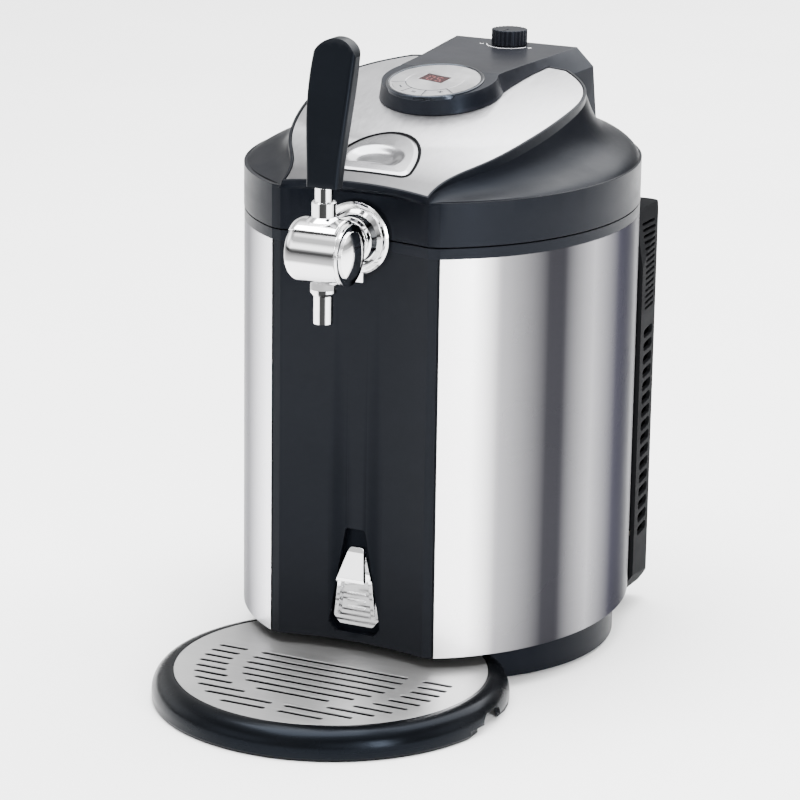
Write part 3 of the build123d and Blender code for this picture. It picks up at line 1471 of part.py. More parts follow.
def sector(start, end, inner, outer):
    """Sketch a sector of a ring on the disc; angles run from the front."""
    angles = [radians(a - 90) for a in (start, (start + end) / 2, end)]
    inside = [(inner * cos(a), inner * sin(a)) for a in angles]
    outside = [(outer * cos(a), outer * sin(a)) for a in angles]
    with BuildLine() as edge:
        ThreePointArc(*inside)
        Line(inside[2], outside[2])
        ThreePointArc(*reversed(outside))
        Line(outside[0], inside[0])
    make_face(edge.edges())


with BuildPart() as control_disc:
    with BuildSketch(on_disc(-2)):
        Circle(DISC_R)
    extrude(amount=2.6)
    with BuildSketch(on_disc(-4)):
        for name, start, end in KEYS:
            sector(start, end, KEY_IN, KEY_OUT)
        with Locations(WINDOW_AT):
            Rectangle(20.5, 12.8, rotation=WINDOW_TURN)
    extrude(amount=10, mode=Mode.SUBTRACT)
    with BuildSketch(on_disc(0.35)):
        sector(50, 104, KEY_IN - 0.1, KEY_IN + 0.3)
        sector(-113, -71, KEY_IN - 0.1, KEY_IN + 0.3)
    extrude(amount=2, mode=Mode.SUBTRACT)
control_disc.part.label = "control_disc"
export_step(control_disc.part, "parts/control_disc.step")

with BuildPart() as display_window:
    with BuildSketch(on_disc(-2)):
        with Locations(WINDOW_AT):
            Rectangle(20.5, 12.8, rotation=WINDOW_TURN)
    extrude(amount=2.2)
display_window.part.label = "display_window"
export_step(display_window.part, "parts/display_window.step")

KEY_SPOTS = [
    (25 * sin(radians((start + end) / 2)), -25 * cos(radians((start + end) / 2)))
    for name, start, end in KEYS
]
with BuildPart() as control_board:
    with BuildSketch(on_disc(-8.6)):
        Circle(28.4)
        Rectangle(69, 6)
        with Locations((0, 20)):
            Rectangle(6, 29)
    extrude(amount=1.6)
    with BuildSketch(on_disc(-7)):
        with Locations(*KEY_SPOTS):
            Circle(3)
    extrude(amount=1.6)
    with BuildSketch(on_disc(-7)):
        with Locations(WINDOW_AT):
            Rectangle(20, 12, rotation=WINDOW_TURN)
    extrude(amount=4.6)
    with BuildSketch(on_disc(-7)):
        with Locations((32.3, 0), (-32.3, 0), (0, 32.3)):
            Circle(1.4)
    extrude(amount=2.5)
control_board.part.label = "control_board"
export_step(control_board.part, "parts/control_board.step")

for (name, start, end), spot in zip(KEYS, KEY_SPOTS):
    with BuildPart() as key:
        with BuildSketch(on_disc(-1.6)):
            sector(start + 0.8, end - 0.8, KEY_IN + KEY_GAP, KEY_OUT - KEY_GAP)
        extrude(amount=2.2)
        with BuildSketch(on_disc(-4.2)):
            with Locations(spot):
                Circle(2)
        extrude(amount=3)
    key.part.label = name
    export_step(key.part, f"parts/{name}.step")

KNOB_Z = 410.0
RIB_COUNT = 24
with BuildPart() as pressure_knob:
    with BuildSketch(level(KNOB_Z)):
        with Locations((0, KNOB_Y)):
            Circle(KNOB_R - 0.9)
            with PolarLocations(KNOB_R - 0.9, RIB_COUNT):
                Circle(0.9)
    extrude(amount=KNOB_HIGH)
    chamfer(
        pressure_knob.faces().filter_by(Axis.Z).sort_by(Axis.Z)[-1].outer_wire().edges(),
        length=0.4,
    )
    with BuildSketch(level(KNOB_Z + KNOB_HIGH - 0.4)):
        with Locations((0, KNOB_Y - 7)):
            Rectangle(1.4, 9)
    extrude(amount=1, mode=Mode.SUBTRACT)
    with BuildSketch(level(398)):
        with Locations((0, KNOB_Y)):
            Circle(3)
    extrude(amount=KNOB_Z - 398)
pressure_knob.part.label = "pressure_knob"
export_step(pressure_knob.part, "parts/pressure_knob.step")

# ---------------------------------------------------------------- gas supply
ARM_Z = 384.0
CARTRIDGE_Y, CARTRIDGE_Z, CARTRIDGE_R = 64.0, 360.0, 10.0
with BuildPart() as regulator_body:
    with BuildSketch(level(376)):
        with Locations((0, KNOB_Y)):
            Circle(10)
    extrude(amount=28)
    with BuildSketch(level(ARM_Z - 5)):
        box_sketch((-7, CARTRIDGE_Y - 7), (7, KNOB_Y))
    extrude(amount=10)
    with BuildSketch(level(CARTRIDGE_Z)):
        box_sketch((-7, CARTRIDGE_Y - 7), (7, CARTRIDGE_Y + 7))
    extrude(amount=ARM_Z - CARTRIDGE_Z)
    with BuildSketch(side_on(-20)):
        with Locations((CARTRIDGE_Y, CARTRIDGE_Z)):
            Circle(CARTRIDGE_R)
    extrude(amount=40, mode=Mode.SUBTRACT)
    with BuildSketch(level(397)):
        with Locations((0, KNOB_Y)):
            Circle(3.05)
    extrude(amount=20, mode=Mode.SUBTRACT)
regulator_body.part.label = "regulator_body"
export_step(regulator_body.part, "parts/regulator_body.step")

with BuildPart() as co2_cartridge:
    with BuildSketch(level(CARTRIDGE_Z)):
        with BuildLine():
            Line((-44, CARTRIDGE_Y), (-44, CARTRIDGE_Y - 6))
            ThreePointArc(
                (-44, CARTRIDGE_Y - 6),
                (-42.8, CARTRIDGE_Y - 8.8),
                (-40, CARTRIDGE_Y - CARTRIDGE_R),
            )
            FilletPolyline(
                (-40, CARTRIDGE_Y - CARTRIDGE_R),
                (26, CARTRIDGE_Y - CARTRIDGE_R),
                (36, CARTRIDGE_Y - 4),
                (44, CARTRIDGE_Y - 4),
                radius=3,
            )
            Line((44, CARTRIDGE_Y - 4), (44, CARTRIDGE_Y))
            Line((44, CARTRIDGE_Y), (-44, CARTRIDGE_Y))
        make_face()
    revolve(axis=Axis((0, AXIS_Y + CARTRIDGE_Y, CARTRIDGE_Z), (1, 0, 0)))
co2_cartridge.part.label = "co2_cartridge"
export_step(co2_cartridge.part, "parts/co2_cartridge.step")

with BuildPart() as gas_line:
    with BuildLine(side_on(0)) as gas_path:
        FilletPolyline(
            (CARTRIDGE_Y - 7, ARM_Z),
            (CARTRIDGE_Y - 22, ARM_Z),
            (WELL_Y + 18, 352),
            (WELL_Y, 352),
            (WELL_Y, 332),
            radius=9,
        )
    with BuildSketch(facing_front(CARTRIDGE_Y - 7)):
        with Locations((0, ARM_Z)):
            Circle(3)
            Circle(1.8, mode=Mode.SUBTRACT)
    sweep(path=gas_path.wires()[0])
    with BuildSketch(level(COUPLER_HIGH + 10.5)):
        with Locations((0, WELL_Y)):
            Circle(5.5)
            Circle(2, mode=Mode.SUBTRACT)
    extrude(amount=8)
gas_line.part.label = "gas_line"
export_step(gas_line.part, "parts/gas_line.step")
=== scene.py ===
from math import atan2, cos, degrees, pi, radians, sin, sqrt

import bmesh
import bpy
from mathutils import Matrix, Vector
from mathutils.geometry import tessellate_polygon


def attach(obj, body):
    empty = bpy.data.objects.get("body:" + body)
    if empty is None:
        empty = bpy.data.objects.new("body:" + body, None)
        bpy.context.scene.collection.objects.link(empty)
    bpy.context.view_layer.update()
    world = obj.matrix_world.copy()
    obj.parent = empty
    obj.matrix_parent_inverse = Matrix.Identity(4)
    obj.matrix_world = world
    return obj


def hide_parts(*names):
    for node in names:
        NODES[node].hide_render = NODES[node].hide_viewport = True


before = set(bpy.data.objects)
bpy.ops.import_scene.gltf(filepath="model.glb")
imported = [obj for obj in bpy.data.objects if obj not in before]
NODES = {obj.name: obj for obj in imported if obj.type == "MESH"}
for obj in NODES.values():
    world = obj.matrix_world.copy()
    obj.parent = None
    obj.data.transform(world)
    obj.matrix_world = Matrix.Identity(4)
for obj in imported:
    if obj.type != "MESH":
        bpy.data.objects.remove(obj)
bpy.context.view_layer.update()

MM = 0.001
# The centre of the body's side curve: its y in the row frame, in millimetres.
AXIS_Y = 79.55
# The side curve's half width and its reach forwards, in metres, taken as half an ellipse.
CURVE_WIDE, CURVE_DEEP = 0.135, 0.1584


def at(x, y, z):
    """A point given from the body's axis in millimetres, as metres in the row frame."""
    return Vector((x * MM, (y + AXIS_Y) * MM, z * MM))


# ------------------------------------------------------------------ node helpers
def new_material(name):
    """A node material, with its tree and its Principled shader."""
    material = bpy.data.materials.new(name)
    material.use_nodes = True
    tree = material.node_tree
    return material, tree, tree.nodes["Principled BSDF"]


def node(tree, kind, **values):
    """A new node of a kind, with its properties set."""
    made = tree.nodes.new(kind)
    for key, value in values.items():
        setattr(made, key, value)
    return made


def coords(tree, scale=(1, 1, 1)):
    """Object coordinates in metres, stretched by a scale."""
    source = node(tree, "ShaderNodeTexCoord")
    mapping = node(tree, "ShaderNodeMapping")
    mapping.inputs["Scale"].default_value = scale
    tree.links.new(source.outputs["Object"], mapping.inputs["Vector"])
    return mapping.outputs["Vector"]


def split(tree, kind):
    """X, Y and Z of one kind of texture coordinate, as separate outputs."""
    source = node(tree, "ShaderNodeTexCoord")
    parts = node(tree, "ShaderNodeSeparateXYZ")
    tree.links.new(source.outputs[kind], parts.inputs["Vector"])
    return parts.outputs


def noise(tree, vector, scale, detail=3.0, rough=0.5):
    made = node(tree, "ShaderNodeTexNoise")
    made.inputs["Scale"].default_value = scale
    made.inputs["Detail"].default_value = detail
    made.inputs["Roughness"].default_value = rough
    tree.links.new(vector, made.inputs["Vector"])
    return made.outputs["Fac"]


def span(tree, value, low, high, from_low=0.3, from_high=0.7, clamp=True):
    """A value mapped to a range; noise lies mostly between 0.3 and 0.7."""
    made = node(tree, "ShaderNodeMapRange", clamp=clamp)
    made.inputs["From Min"].default_value = from_low
    made.inputs["From Max"].default_value = from_high
    made.inputs["To Min"].default_value = low
    made.inputs["To Max"].default_value = high
    tree.links.new(value, made.inputs["Value"])
    return made.outputs["Result"]


def scaled(tree, value, factor):
    """A value multiplied by a constant."""
    made = node(tree, "ShaderNodeMath", operation="MULTIPLY")
    made.inputs[1].default_value = factor
    tree.links.new(value, made.inputs[0])
    return made.outputs[0]


def math_of(tree, operation, first, second):
    """Two values joined by one operation."""
    made = node(tree, "ShaderNodeMath", operation=operation)
    tree.links.new(first, made.inputs[0])
    tree.links.new(second, made.inputs[1])
    return made.outputs[0]


def colour_sockets(sockets):
    return [socket for socket in sockets if socket.type == "RGBA"]


def mix_colour(tree, factor, first, second):
    """A mix of two colours, each a tuple or a node's output."""
    made = node(tree, "ShaderNodeMix", data_type="RGBA")
    tree.links.new(factor, made.inputs["Factor"])
    for target, colour in zip(colour_sockets(made.inputs), (first, second)):
        if isinstance(colour, tuple):
            target.default_value = (*colour, 1)
        else:
            tree.links.new(colour, target)
    return colour_sockets(made.outputs)[0]


def multiply(tree, first, second):
    """The product of two colours that come from nodes."""
    made = node(tree, "ShaderNodeMix", data_type="RGBA", blend_type="MULTIPLY")
    made.inputs["Factor"].default_value = 1.0
    for target, colour in zip(colour_sockets(made.inputs), (first, second)):
        tree.links.new(colour, target)
    return colour_sockets(made.outputs)[0]


def ramp(tree, value, stops):
    """Colours over a value from 0 to 1, given as stops of (position, colour)."""
    made = node(tree, "ShaderNodeValToRGB")
    tree.links.new(value, made.inputs["Fac"])
    elements = made.color_ramp.elements
    elements.remove(elements[1])
    for i, (position, colour) in enumerate(stops):
        stop = elements[0] if i == 0 else elements.new(position)
        stop.position = position
        stop.color = (*colour, 1)
    return made.outputs["Color"]


def bump(tree, shader, height, strength, distance):
    """Relief from a height, on edges that catch the light as if slightly rounded."""
    made = node(tree, "ShaderNodeBump")
    soft = node(tree, "ShaderNodeBevel", samples=4)
    soft.inputs["Radius"].default_value = 0.5 * MM
    tree.links.new(soft.outputs["Normal"], made.inputs["Normal"])
    made.inputs["Strength"].default_value = strength
    made.inputs["Distance"].default_value = distance
    tree.links.new(height, made.inputs["Height"])
    tree.links.new(made.outputs["Normal"], shader.inputs["Normal"])


def edge_wear(tree, amount):
    """0 on flat areas, rising on worn convex edges."""
    geometry = node(tree, "ShaderNodeNewGeometry")
    return span(tree, geometry.outputs["Pointiness"], 0.0, amount, 0.51, 0.6)


def tint(colour, factor, lift=0.0):
    """A colour made lighter or darker."""
    return tuple(min(c * factor + lift, 1) for c in colour)


# ------------------------------------------------------------------ finishes
# Colour of the plastics' gloss, which mirrors a cool studio.
COOL_GLOSS = (0.62, 0.76, 1.0, 1)
# Keeps the steel's edges from turning white where they are seen at a low angle.
STEEL_EDGE = (0.4, 0.4, 0.41, 1)


def moulded(name, colour, rough, grain=2600, depth=0.00005, spec=0.25):
    """Moulded plastic: fine spark-eroded grain, slow colour drift and slightly paler edges."""
    material, tree, shader = new_material(name)
    vector = coords(tree)
    drift = span(tree, noise(tree, vector, scale=9, detail=4), 0, 1)
    body = mix_colour(tree, drift, tint(colour, 0.8), tint(colour, 1.25, lift=0.001))
    worn = mix_colour(tree, edge_wear(tree, 0.5), body, tint(colour, 2.0, lift=0.01))
    tree.links.new(worn, shader.inputs["Base Color"])
    smear = noise(tree, coords(tree, (1, 1, 2.5)), scale=26, detail=5)
    tree.links.new(span(tree, smear, rough - 0.04, rough + 0.06), shader.inputs["Roughness"])
    shader.inputs["Specular IOR Level"].default_value = spec
    shader.inputs["Specular Tint"].default_value = COOL_GLOSS
    bump(tree, shader, noise(tree, vector, scale=grain, detail=2), 0.35, depth)
    return material


def brushed(name, colour, rough, stretch, scale, anisotropic=0.0, tangent="Z"):
    """Brushed steel: long hair lines, a slow tone drift and faint smudges."""
    material, tree, shader = new_material(name)
    lines = noise(tree, coords(tree, stretch), scale, detail=6, rough=0.6)
    smudge = noise(tree, coords(tree), scale=14, detail=4)
    tone = mix_colour(tree, span(tree, lines, 0, 1), tint(colour, 0.93), tint(colour, 1.05))
    tree.links.new(tone, shader.inputs["Base Color"])
    shader.inputs["Metallic"].default_value = 1.0
    hair_rough = span(tree, lines, rough - 0.03, rough + 0.03)
    smudge_rough = span(tree, smudge, -0.015, 0.03)
    tree.links.new(math_of(tree, "ADD", hair_rough, smudge_rough), shader.inputs["Roughness"])
    shader.inputs["Anisotropic"].default_value = anisotropic
    if anisotropic:
        direction = node(tree, "ShaderNodeTangent", direction_type="RADIAL", axis=tangent)
        tree.links.new(direction.outputs["Tangent"], shader.inputs["Tangent"])
    bump(tree, shader, lines, 0.25, 0.00002)
    return material


def painted_reflection_grey(tone):
    """The grey of one painted reflection band; its dark greys are a little bluer than its bright
    ones.
    """
    blue = 1.15 if tone < 0.15 else 1.03
    return tone, tone * 0.99, min(tone * blue, 1)


def steel_with_painted_reflections(name, painted_bands):
    """Polished brushed steel wrapped round the body, with painted reflections: long upright streaks
    of tone.

    Each painted band is a direction in degrees from the front and a tone. Directions are those of
    the side curve's ellipse scaled to a circle, positive towards +X.
    """
    material, tree, shader = new_material(name)
    place = split(tree, "Object")
    across = scaled(tree, place["X"], 1 / CURVE_WIDE)
    axis_y = AXIS_Y * MM
    forward = span(tree, place["Y"], 0, 1, axis_y, axis_y - CURVE_DEEP, clamp=False)
    turned = math_of(tree, "ARCTAN2", across, forward)
    # Painted reflections: the colour follows the direction round the body.
    first, last = painted_bands[0][0], painted_bands[-1][0]
    share = span(tree, turned, 0, 1, radians(first), radians(last))
    stops = [((turn - first) / (last - first), painted_reflection_grey(tone)) for turn, tone in painted_bands]
    hair = noise(tree, coords(tree, (0.6, 0.6, 60)), scale=26, detail=6, rough=0.6)
    grey = mix_colour(tree, span(tree, hair, 0, 1), (0.95, 0.95, 0.95), (1.0, 1.0, 1.0))
    tone = multiply(tree, ramp(tree, share, stops), grey)
    tree.links.new(tone, shader.inputs["Base Color"])
    shader.inputs["Metallic"].default_value = 1.0
    smudge = noise(tree, coords(tree), scale=14, detail=4)
    tree.links.new(span(tree, smudge, 0.24, 0.30), shader.inputs["Roughness"])
    shader.inputs["Specular Tint"].default_value = STEEL_EDGE
    bump(tree, shader, hair, 0.15, 0.00001)
    return material


def plated(name, colour, rough):
    """Polished plating: nearly a mirror, with faint swirls and finger smears."""
    material, tree, shader = new_material(name)
    swirl = noise(tree, coords(tree), scale=60, detail=5)
    tone = mix_colour(tree, span(tree, swirl, 0, 1), tint(colour, 0.96), colour)
    tree.links.new(tone, shader.inputs["Base Color"])
    shader.inputs["Metallic"].default_value = 1.0
    smear = noise(tree, coords(tree, (1, 1, 0.4)), scale=110, detail=4)
    tree.links.new(span(tree, smear, rough, rough + 0.06), shader.inputs["Roughness"])
    bump(tree, shader, noise(tree, coords(tree), scale=420, detail=3), 0.06, 0.00003)
    return material


def chrome_with_painted_streaks(name, axis, painted_tones, painted_clutter=False):
    """Plating on a turned part, with painted reflections: long dark and bright streaks that follow
    its curve.

    Each tone is (place, grey), where the place runs from 0 for a surface that faces down the
    axis to 1 for one that faces up it. Clutter adds painted reflections of small things: dark
    patches.
    """
    material, tree, shader = new_material(name)
    share = span(tree, split(tree, "Normal")[axis], 0, 1, -1, 1)
    # Painted reflections: the grey follows which way the surface faces.
    colour = ramp(tree, share, [(place, (tone, tone, tone * 1.01)) for place, tone in painted_tones])
    if painted_clutter:
        # Painted reflections of small mirrored things, as dark patches.
        source = node(tree, "ShaderNodeTexCoord")
        patches = noise(tree, source.outputs["Normal"], scale=2.6, detail=2)
        free_of_painted_patches = span(tree, patches, 1, 0, 0.56, 0.64)
        colour = mix_colour(tree, free_of_painted_patches, (0.03, 0.03, 0.035), colour)
    swirl = noise(tree, coords(tree), scale=60, detail=5)
    shade = mix_colour(tree, swirl, (0.93, 0.93, 0.93), (1, 1, 1))
    tree.links.new(multiply(tree, colour, shade), shader.inputs["Base Color"])
    shader.inputs["Metallic"].default_value = 1.0
    smear = noise(tree, coords(tree, (1, 1, 0.4)), scale=110, detail=4)
    tree.links.new(span(tree, smear, 0.04, 0.10), shader.inputs["Roughness"])
    bump(tree, shader, noise(tree, coords(tree), scale=420, detail=3), 0.05, 0.00003)
    return material


def darken_along_y(material, low_at, high_at, low, high):
    """Darken a finish smoothly along y; places are millimetres from the body's axis."""
    tree = material.node_tree
    base = tree.nodes["Principled BSDF"].inputs["Base Color"]
    finish = base.links[0].from_socket
    place = split(tree, "Object")["Y"]
    share = span(tree, place, low, high, (AXIS_Y + low_at) * MM, (AXIS_Y + high_at) * MM)
    tree.links.new(multiply(tree, finish, share), base)


def plain_inside(name, colour, rough, metallic=0.0):
    """A hidden or bought-in part: mottled, with a light grain."""
    material, tree, shader = new_material(name)
    mottle = noise(tree, coords(tree), scale=45, detail=5)
    tone = mix_colour(tree, span(tree, mottle, 0, 1), tint(colour, 0.82), tint(colour, 1.12))
    tree.links.new(tone, shader.inputs["Base Color"])
    shader.inputs["Metallic"].default_value = metallic
    smear = noise(tree, coords(tree), scale=90, detail=3)
    tree.links.new(span(tree, smear, rough - 0.06, rough + 0.08), shader.inputs["Roughness"])
    bump(tree, shader, noise(tree, coords(tree), scale=700, detail=3), 0.3, 0.0001)
    return material


def glowing(name, colour, strength):
    """Lit segments of the display, with a slightly uneven glow."""
    material, tree, shader = new_material(name)
    uneven = span(tree, noise(tree, coords(tree), scale=900, detail=2), 0, 1)
    lit = mix_colour(tree, uneven, tint(colour, 0.8), colour)
    tree.links.new(lit, shader.inputs["Emission Color"])
    unlit = mix_colour(tree, uneven, tint(colour, 0.04), tint(colour, 0.05))
    tree.links.new(unlit, shader.inputs["Base Color"])
    shader.inputs["Emission Strength"].default_value = strength
    return material


SHELL = moulded("shell_plastic", (0.0012, 0.0015, 0.0026), 0.34, spec=0.055)
PANEL = moulded("panel_plastic", (0.0012, 0.0015, 0.0024), 0.40, spec=0.045)
CONSOLE = moulded("console_plastic", (0.0020, 0.0023, 0.0038), 0.32, grain=3400, spec=0.09)
TRAY = moulded("tray_plastic", (0.0010, 0.0012, 0.0016), 0.24, spec=0.08)
COVER = moulded("cover_plastic", (0.0008, 0.0009, 0.0013), 0.60, spec=0.01)
HANDLE = moulded("handle_plastic", (0.0014, 0.0017, 0.0024), 0.36, grain=2200, spec=0.07)
GLOSS = moulded(
    "bezel_gloss", (0.0015, 0.0015, 0.0017), 0.08, grain=300, depth=0.00001, spec=0.45
)
RUBBER = moulded("rubber", (0.003, 0.003, 0.0035), 0.6, grain=900, depth=0.0001, spec=0.1)
# Painted reflections on each side: a bright front edge, a fall to grey, a dark streak, a grey band,
# then dark again.
STEEL = steel_with_painted_reflections(
    "side_steel",
    (
        (-118, 0.3), (-100, 0.05), (-80, 0.25), (-60, 0.1), (-45, 0.2), (-30, 0.9),
        (30, 1.0), (37, 1.0), (45, 0.2), (60, 0.02), (65, 0.02), (77, 0.25), (90, 0.05),
        (102, 0.01), (112, 0.15),
    ),
)
PLATE = brushed(
    "plate_steel", (0.45, 0.45, 0.465), 0.34, (8, 0.5, 8), 60, anisotropic=0.4, tangent="X"
)
# Painted shade: the lid plate's front edge lies in the dark part of the studio, so its colour is
# darkened there.
darken_along_y(PLATE, low_at=-128, high_at=-76, low=0.20, high=1.0)
GRID = brushed("grid_steel", (0.44, 0.44, 0.44), 0.45, (0.4, 9, 9), 55)
DISC = brushed("disc_steel", (0.44, 0.44, 0.45), 0.3, (1, 1, 1), 180, anisotropic=0.3)
KEY = brushed("key_steel", (0.40, 0.40, 0.41), 0.32, (1, 1, 1), 200)
CHROME = plated("chrome", (0.96, 0.96, 0.97), 0.03)
# Painted reflections on the upright turned parts, from the side facing -X to the side facing +X:
# bright, dark, a bright line.
UPRIGHT = chrome_with_painted_streaks(
    "upright_chrome",
    "X",
    (
        (0.0, 0.1), (0.25, 0.95), (0.5, 0.95), (0.56, 0.02), (0.8, 0.02), (0.85, 0.9),
        (0.95, 0.9), (1.0, 0.1),
    ),
)
# Painted reflections on the tap's barrel, from below to above: bright, a grey band, a bright band,
# then a painted shadow line under the lever hub.
BARREL = chrome_with_painted_streaks(
    "barrel_chrome",
    "Z",
    (
        (0.0, 0.6), (0.2, 0.95), (0.4, 0.9), (0.44, 0.25), (0.62, 0.1), (0.65, 0.95),
        (0.83, 0.95), (0.86, 0.03), (1.0, 0.5),
    ),
)
# Painted reflections on the tap's collar, with dark patches of small things mirrored.
COLLAR = chrome_with_painted_streaks(
    "collar_chrome",
    "Y",
    ((0.0, 0.95), (0.12, 0.9), (0.2, 0.2), (0.3, 0.85), (0.42, 0.7), (0.5, 0.95), (1.0, 0.8)),
    painted_clutter=True,
)
# The tap's seal: chrome at its front, black further back.
SEAL = chrome_with_painted_streaks("seal_ring", "X", ((0.0, 0.9), (1.0, 0.9)))
darken_along_y(SEAL, low_at=-190, high_at=-184, low=1.0, high=0.015)
SATIN_CHROME = plated("satin_chrome", (0.26, 0.26, 0.27), 0.20)
ALLOY = plain_inside("alloy", (0.62, 0.63, 0.65), 0.38, metallic=1.0)
PLAIN_STEEL = plain_inside("plain_steel", (0.55, 0.55, 0.56), 0.3, metallic=1.0)
FOAM = plain_inside("foam", (0.72, 0.62, 0.36), 0.9)
CERAMIC = plain_inside("ceramic", (0.82, 0.82, 0.80), 0.6)
BOARD = plain_inside("board", (0.03, 0.16, 0.07), 0.4)
SMOKED = moulded(
    "smoked_window", (0.010, 0.0015, 0.002), 0.10, grain=200, depth=0.000005, spec=0.08
)
DIGITS = glowing("lit_digits", (1.0, 0.012, 0.015), 0.2)
# Dark print, also used as the painted shade in the gaps round the keys.
PRINT_AND_GAP_SHADE = moulded("print_and_gap_shade", (0.006, 0.006, 0.007), 0.5, grain=1500, depth=0.00001)
PRINT_PALE = moulded("print_pale", (0.62, 0.62, 0.64), 0.5, grain=1500, depth=0.00001)

FINISH = {
    SHELL: "top_deck lid_shell lid_liner base_ring",
    PANEL: "front_panel",
    CONSOLE: "console_housing pressure_knob",
    TRAY: "tray_bowl",
    COVER: "rear_cover button_housing fan_frame fan_rotor mains_inlet hinge_bracket",
    HANDLE: "tap_handle",
    GLOSS: "panel_bezel",
    RUBBER: "rubber_feet well_gasket keg_bung beer_line gas_line",
    STEEL: "steel_panel_left steel_panel_right",
    PLATE: "lid_plate",
    GRID: "drip_grid",
    DISC: "control_disc",
    KEY: "minus_button set_button plus_button",
    CHROME: "tap_end_cap tap_shank tap_nut lever_hub bottle_opener valve_spool",
    UPRIGHT: "tap_spout tap_rod tap_sleeve",
    BARREL: "tap_body",
    SEAL: "tap_seal",
    COLLAR: "tap_collar",
    SATIN_CHROME: "lid_button",
    ALLOY: "cooling_well cold_block heat_sink regulator_body",
    PLAIN_STEEL: "hinge_pin cover_screws button_spring latch_bolt co2_cartridge keg_shell"
    " keg_coupler dip_tube",
    FOAM: "insulation_foam",
    CERAMIC: "peltier_module",
    BOARD: "power_board control_board",
    SMOKED: "display_window",
}
for material, names in FINISH.items():
    for name in names.split():
        shown = NODES[name]
        if not shown.data.materials:
            shown.data.materials.append(material)
        for place in shown.material_slots:
            place.material = material


# ------------------------------------------------------------------ pieces
def add_object(name, data):
    """A new object in the scene."""
    made = bpy.data.objects.new(name, data)
    bpy.context.scene.collection.objects.link(made)
    return made


def piece(name, mesh, material, body):
    """Link a mesh as a piece that rides on a body."""
    made = add_object(name, mesh)
    mesh.materials.append(material)
    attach(made, body)
    return made


def finished_mesh(name, work):
    """The mesh that a bmesh has built, with its faces turned outwards."""
    bmesh.ops.recalc_face_normals(work, faces=work.faces)
    mesh = bpy.data.meshes.new(name)
    work.to_mesh(mesh)
    work.free()
    return mesh


def lid_print_and_shade(name, outlines, low, high, material, place):
    """Flat shapes given as outlines in millimetres, as thin closed sheets on the lid: prints, lit
    digits and painted shade.
    """
    work = bmesh.new()
    for outline in outlines:
        bottom = [work.verts.new((x * MM, y * MM, low * MM)) for x, y in outline]
        top = [work.verts.new((x * MM, y * MM, high * MM)) for x, y in outline]
        work.faces.new(list(reversed(bottom)))
        work.faces.new(top)
        count = len(outline)
        for i in range(count):
            j = (i + 1) % count
            work.faces.new((bottom[i], bottom[j], top[j], top[i]))
    mesh = finished_mesh(name, work)
    mesh.transform(place)
    return piece(name, mesh, material, "lid")


def turn_into_place(shape, x, y, turn):
    """Points of a shape turned by degrees about its middle, which is put at x, y."""
    c, s = cos(radians(turn)), sin(radians(turn))
    return [(x + c * a - s * b, y + s * a + c * b) for a, b in shape]


def bar(x, y, length, width, turn):
    """Corners of a bar centred on a point."""
    half, side = length / 2, width / 2
    corners = ((-half, -side), (half, -side), (half, side), (-half, side))
    return turn_into_place(corners, x, y, turn)


def arc_band(inner, outer, start, end):
    """Outline of part of a flat ring; angles in degrees run from +X."""
    count = 40
    angles = [radians(start + (end - start) * i / count) for i in range(count + 1)]
    out = [(outer * cos(a), outer * sin(a)) for a in angles]
    back = [(inner * cos(a), inner * sin(a)) for a in reversed(angles)]
    return out + back


# ------------------------------------------------------------------ marks on the control disc
# The disc's middle and tilt. Its marks and keys are turned together from straight ahead.
DISC_PLACE = Matrix.Translation(at(0, -17.6, 403.4)) @ Matrix.Rotation(radians(9.8), 4, "X")
TURN = -10.5
# A minus and a plus beside their keys, and two lines by the middle key: x, y, length, width, turn.
DISC_MARKS = (
    (-18.2, -17.4, 4.0, 1.2, -40 + TURN),
    (13.6, -20.6, 3.8, 1.1, 30 + TURN),
    (13.6, -20.6, 1.1, 3.8, 30 + TURN),
    (-4.6, -24.4, 3.0, 0.8, TURN),
    (-4.6, -26.0, 3.0, 0.8, TURN),
)
lid_print_and_shade(
    "disc_marks",
    [bar(*mark) for mark in DISC_MARKS],
    low=0.61,
    high=0.68,
    material=PRINT_AND_GAP_SHADE,
    place=DISC_PLACE,
)

# Painted shade: dark strips laid in the gaps round the three keys, whose radii are in millimetres
# and ends in degrees from the front.
KEY_IN, KEY_OUT = 20.4, 30.4
KEY_ENDS = (-69.0, -27.5, 7.0, 48.2)
GAP = 0.7


def key_end_gap_shade(end):
    """The painted shade in the gap across the ring of keys at one direction."""
    radius, a = (KEY_IN + KEY_OUT) / 2, radians(end - 90)
    return bar(radius * cos(a), radius * sin(a), KEY_OUT - KEY_IN, GAP, end - 90)


inner_gap_shade = arc_band(KEY_IN - GAP / 2, KEY_IN + GAP / 2, KEY_ENDS[0] - 90, KEY_ENDS[-1] - 90)
lid_print_and_shade(
    "key_gap_shade",
    [inner_gap_shade] + [key_end_gap_shade(end) for end in KEY_ENDS],
    low=0.3,
    high=0.66,
    material=PRINT_AND_GAP_SHADE,
    place=DISC_PLACE,
)

# Lit digits behind the smoked window: two seven-segment digits and a point.
# Each segment's middle in the digit and its turn in degrees.
SEGMENTS = {
    "a": (0, 3.4, 0), "g": (0, 0, 0), "d": (0, -3.4, 0),
    "f": (-2.0, 1.7, 90), "b": (2.0, 1.7, 90), "e": (-2.0, -1.7, 90), "c": (2.0, -1.7, 90),
}
SEGMENT_SHAPE = (
    (-1.5, 0), (-1.05, -0.42), (1.05, -0.42), (1.5, 0), (1.05, 0.42), (-1.05, 0.42),
)
DIGIT_PARTS = {"0": "abcdef", "5": "afgcd"}


def digit(value, x):
    """Outlines of one seven-segment digit, each segment with pointed ends."""
    outlines = []
    for part in DIGIT_PARTS[value]:
        dx, dy, turn = SEGMENTS[part]
        outlines.append(turn_into_place(SEGMENT_SHAPE, x + dx, dy, turn))
    return outlines


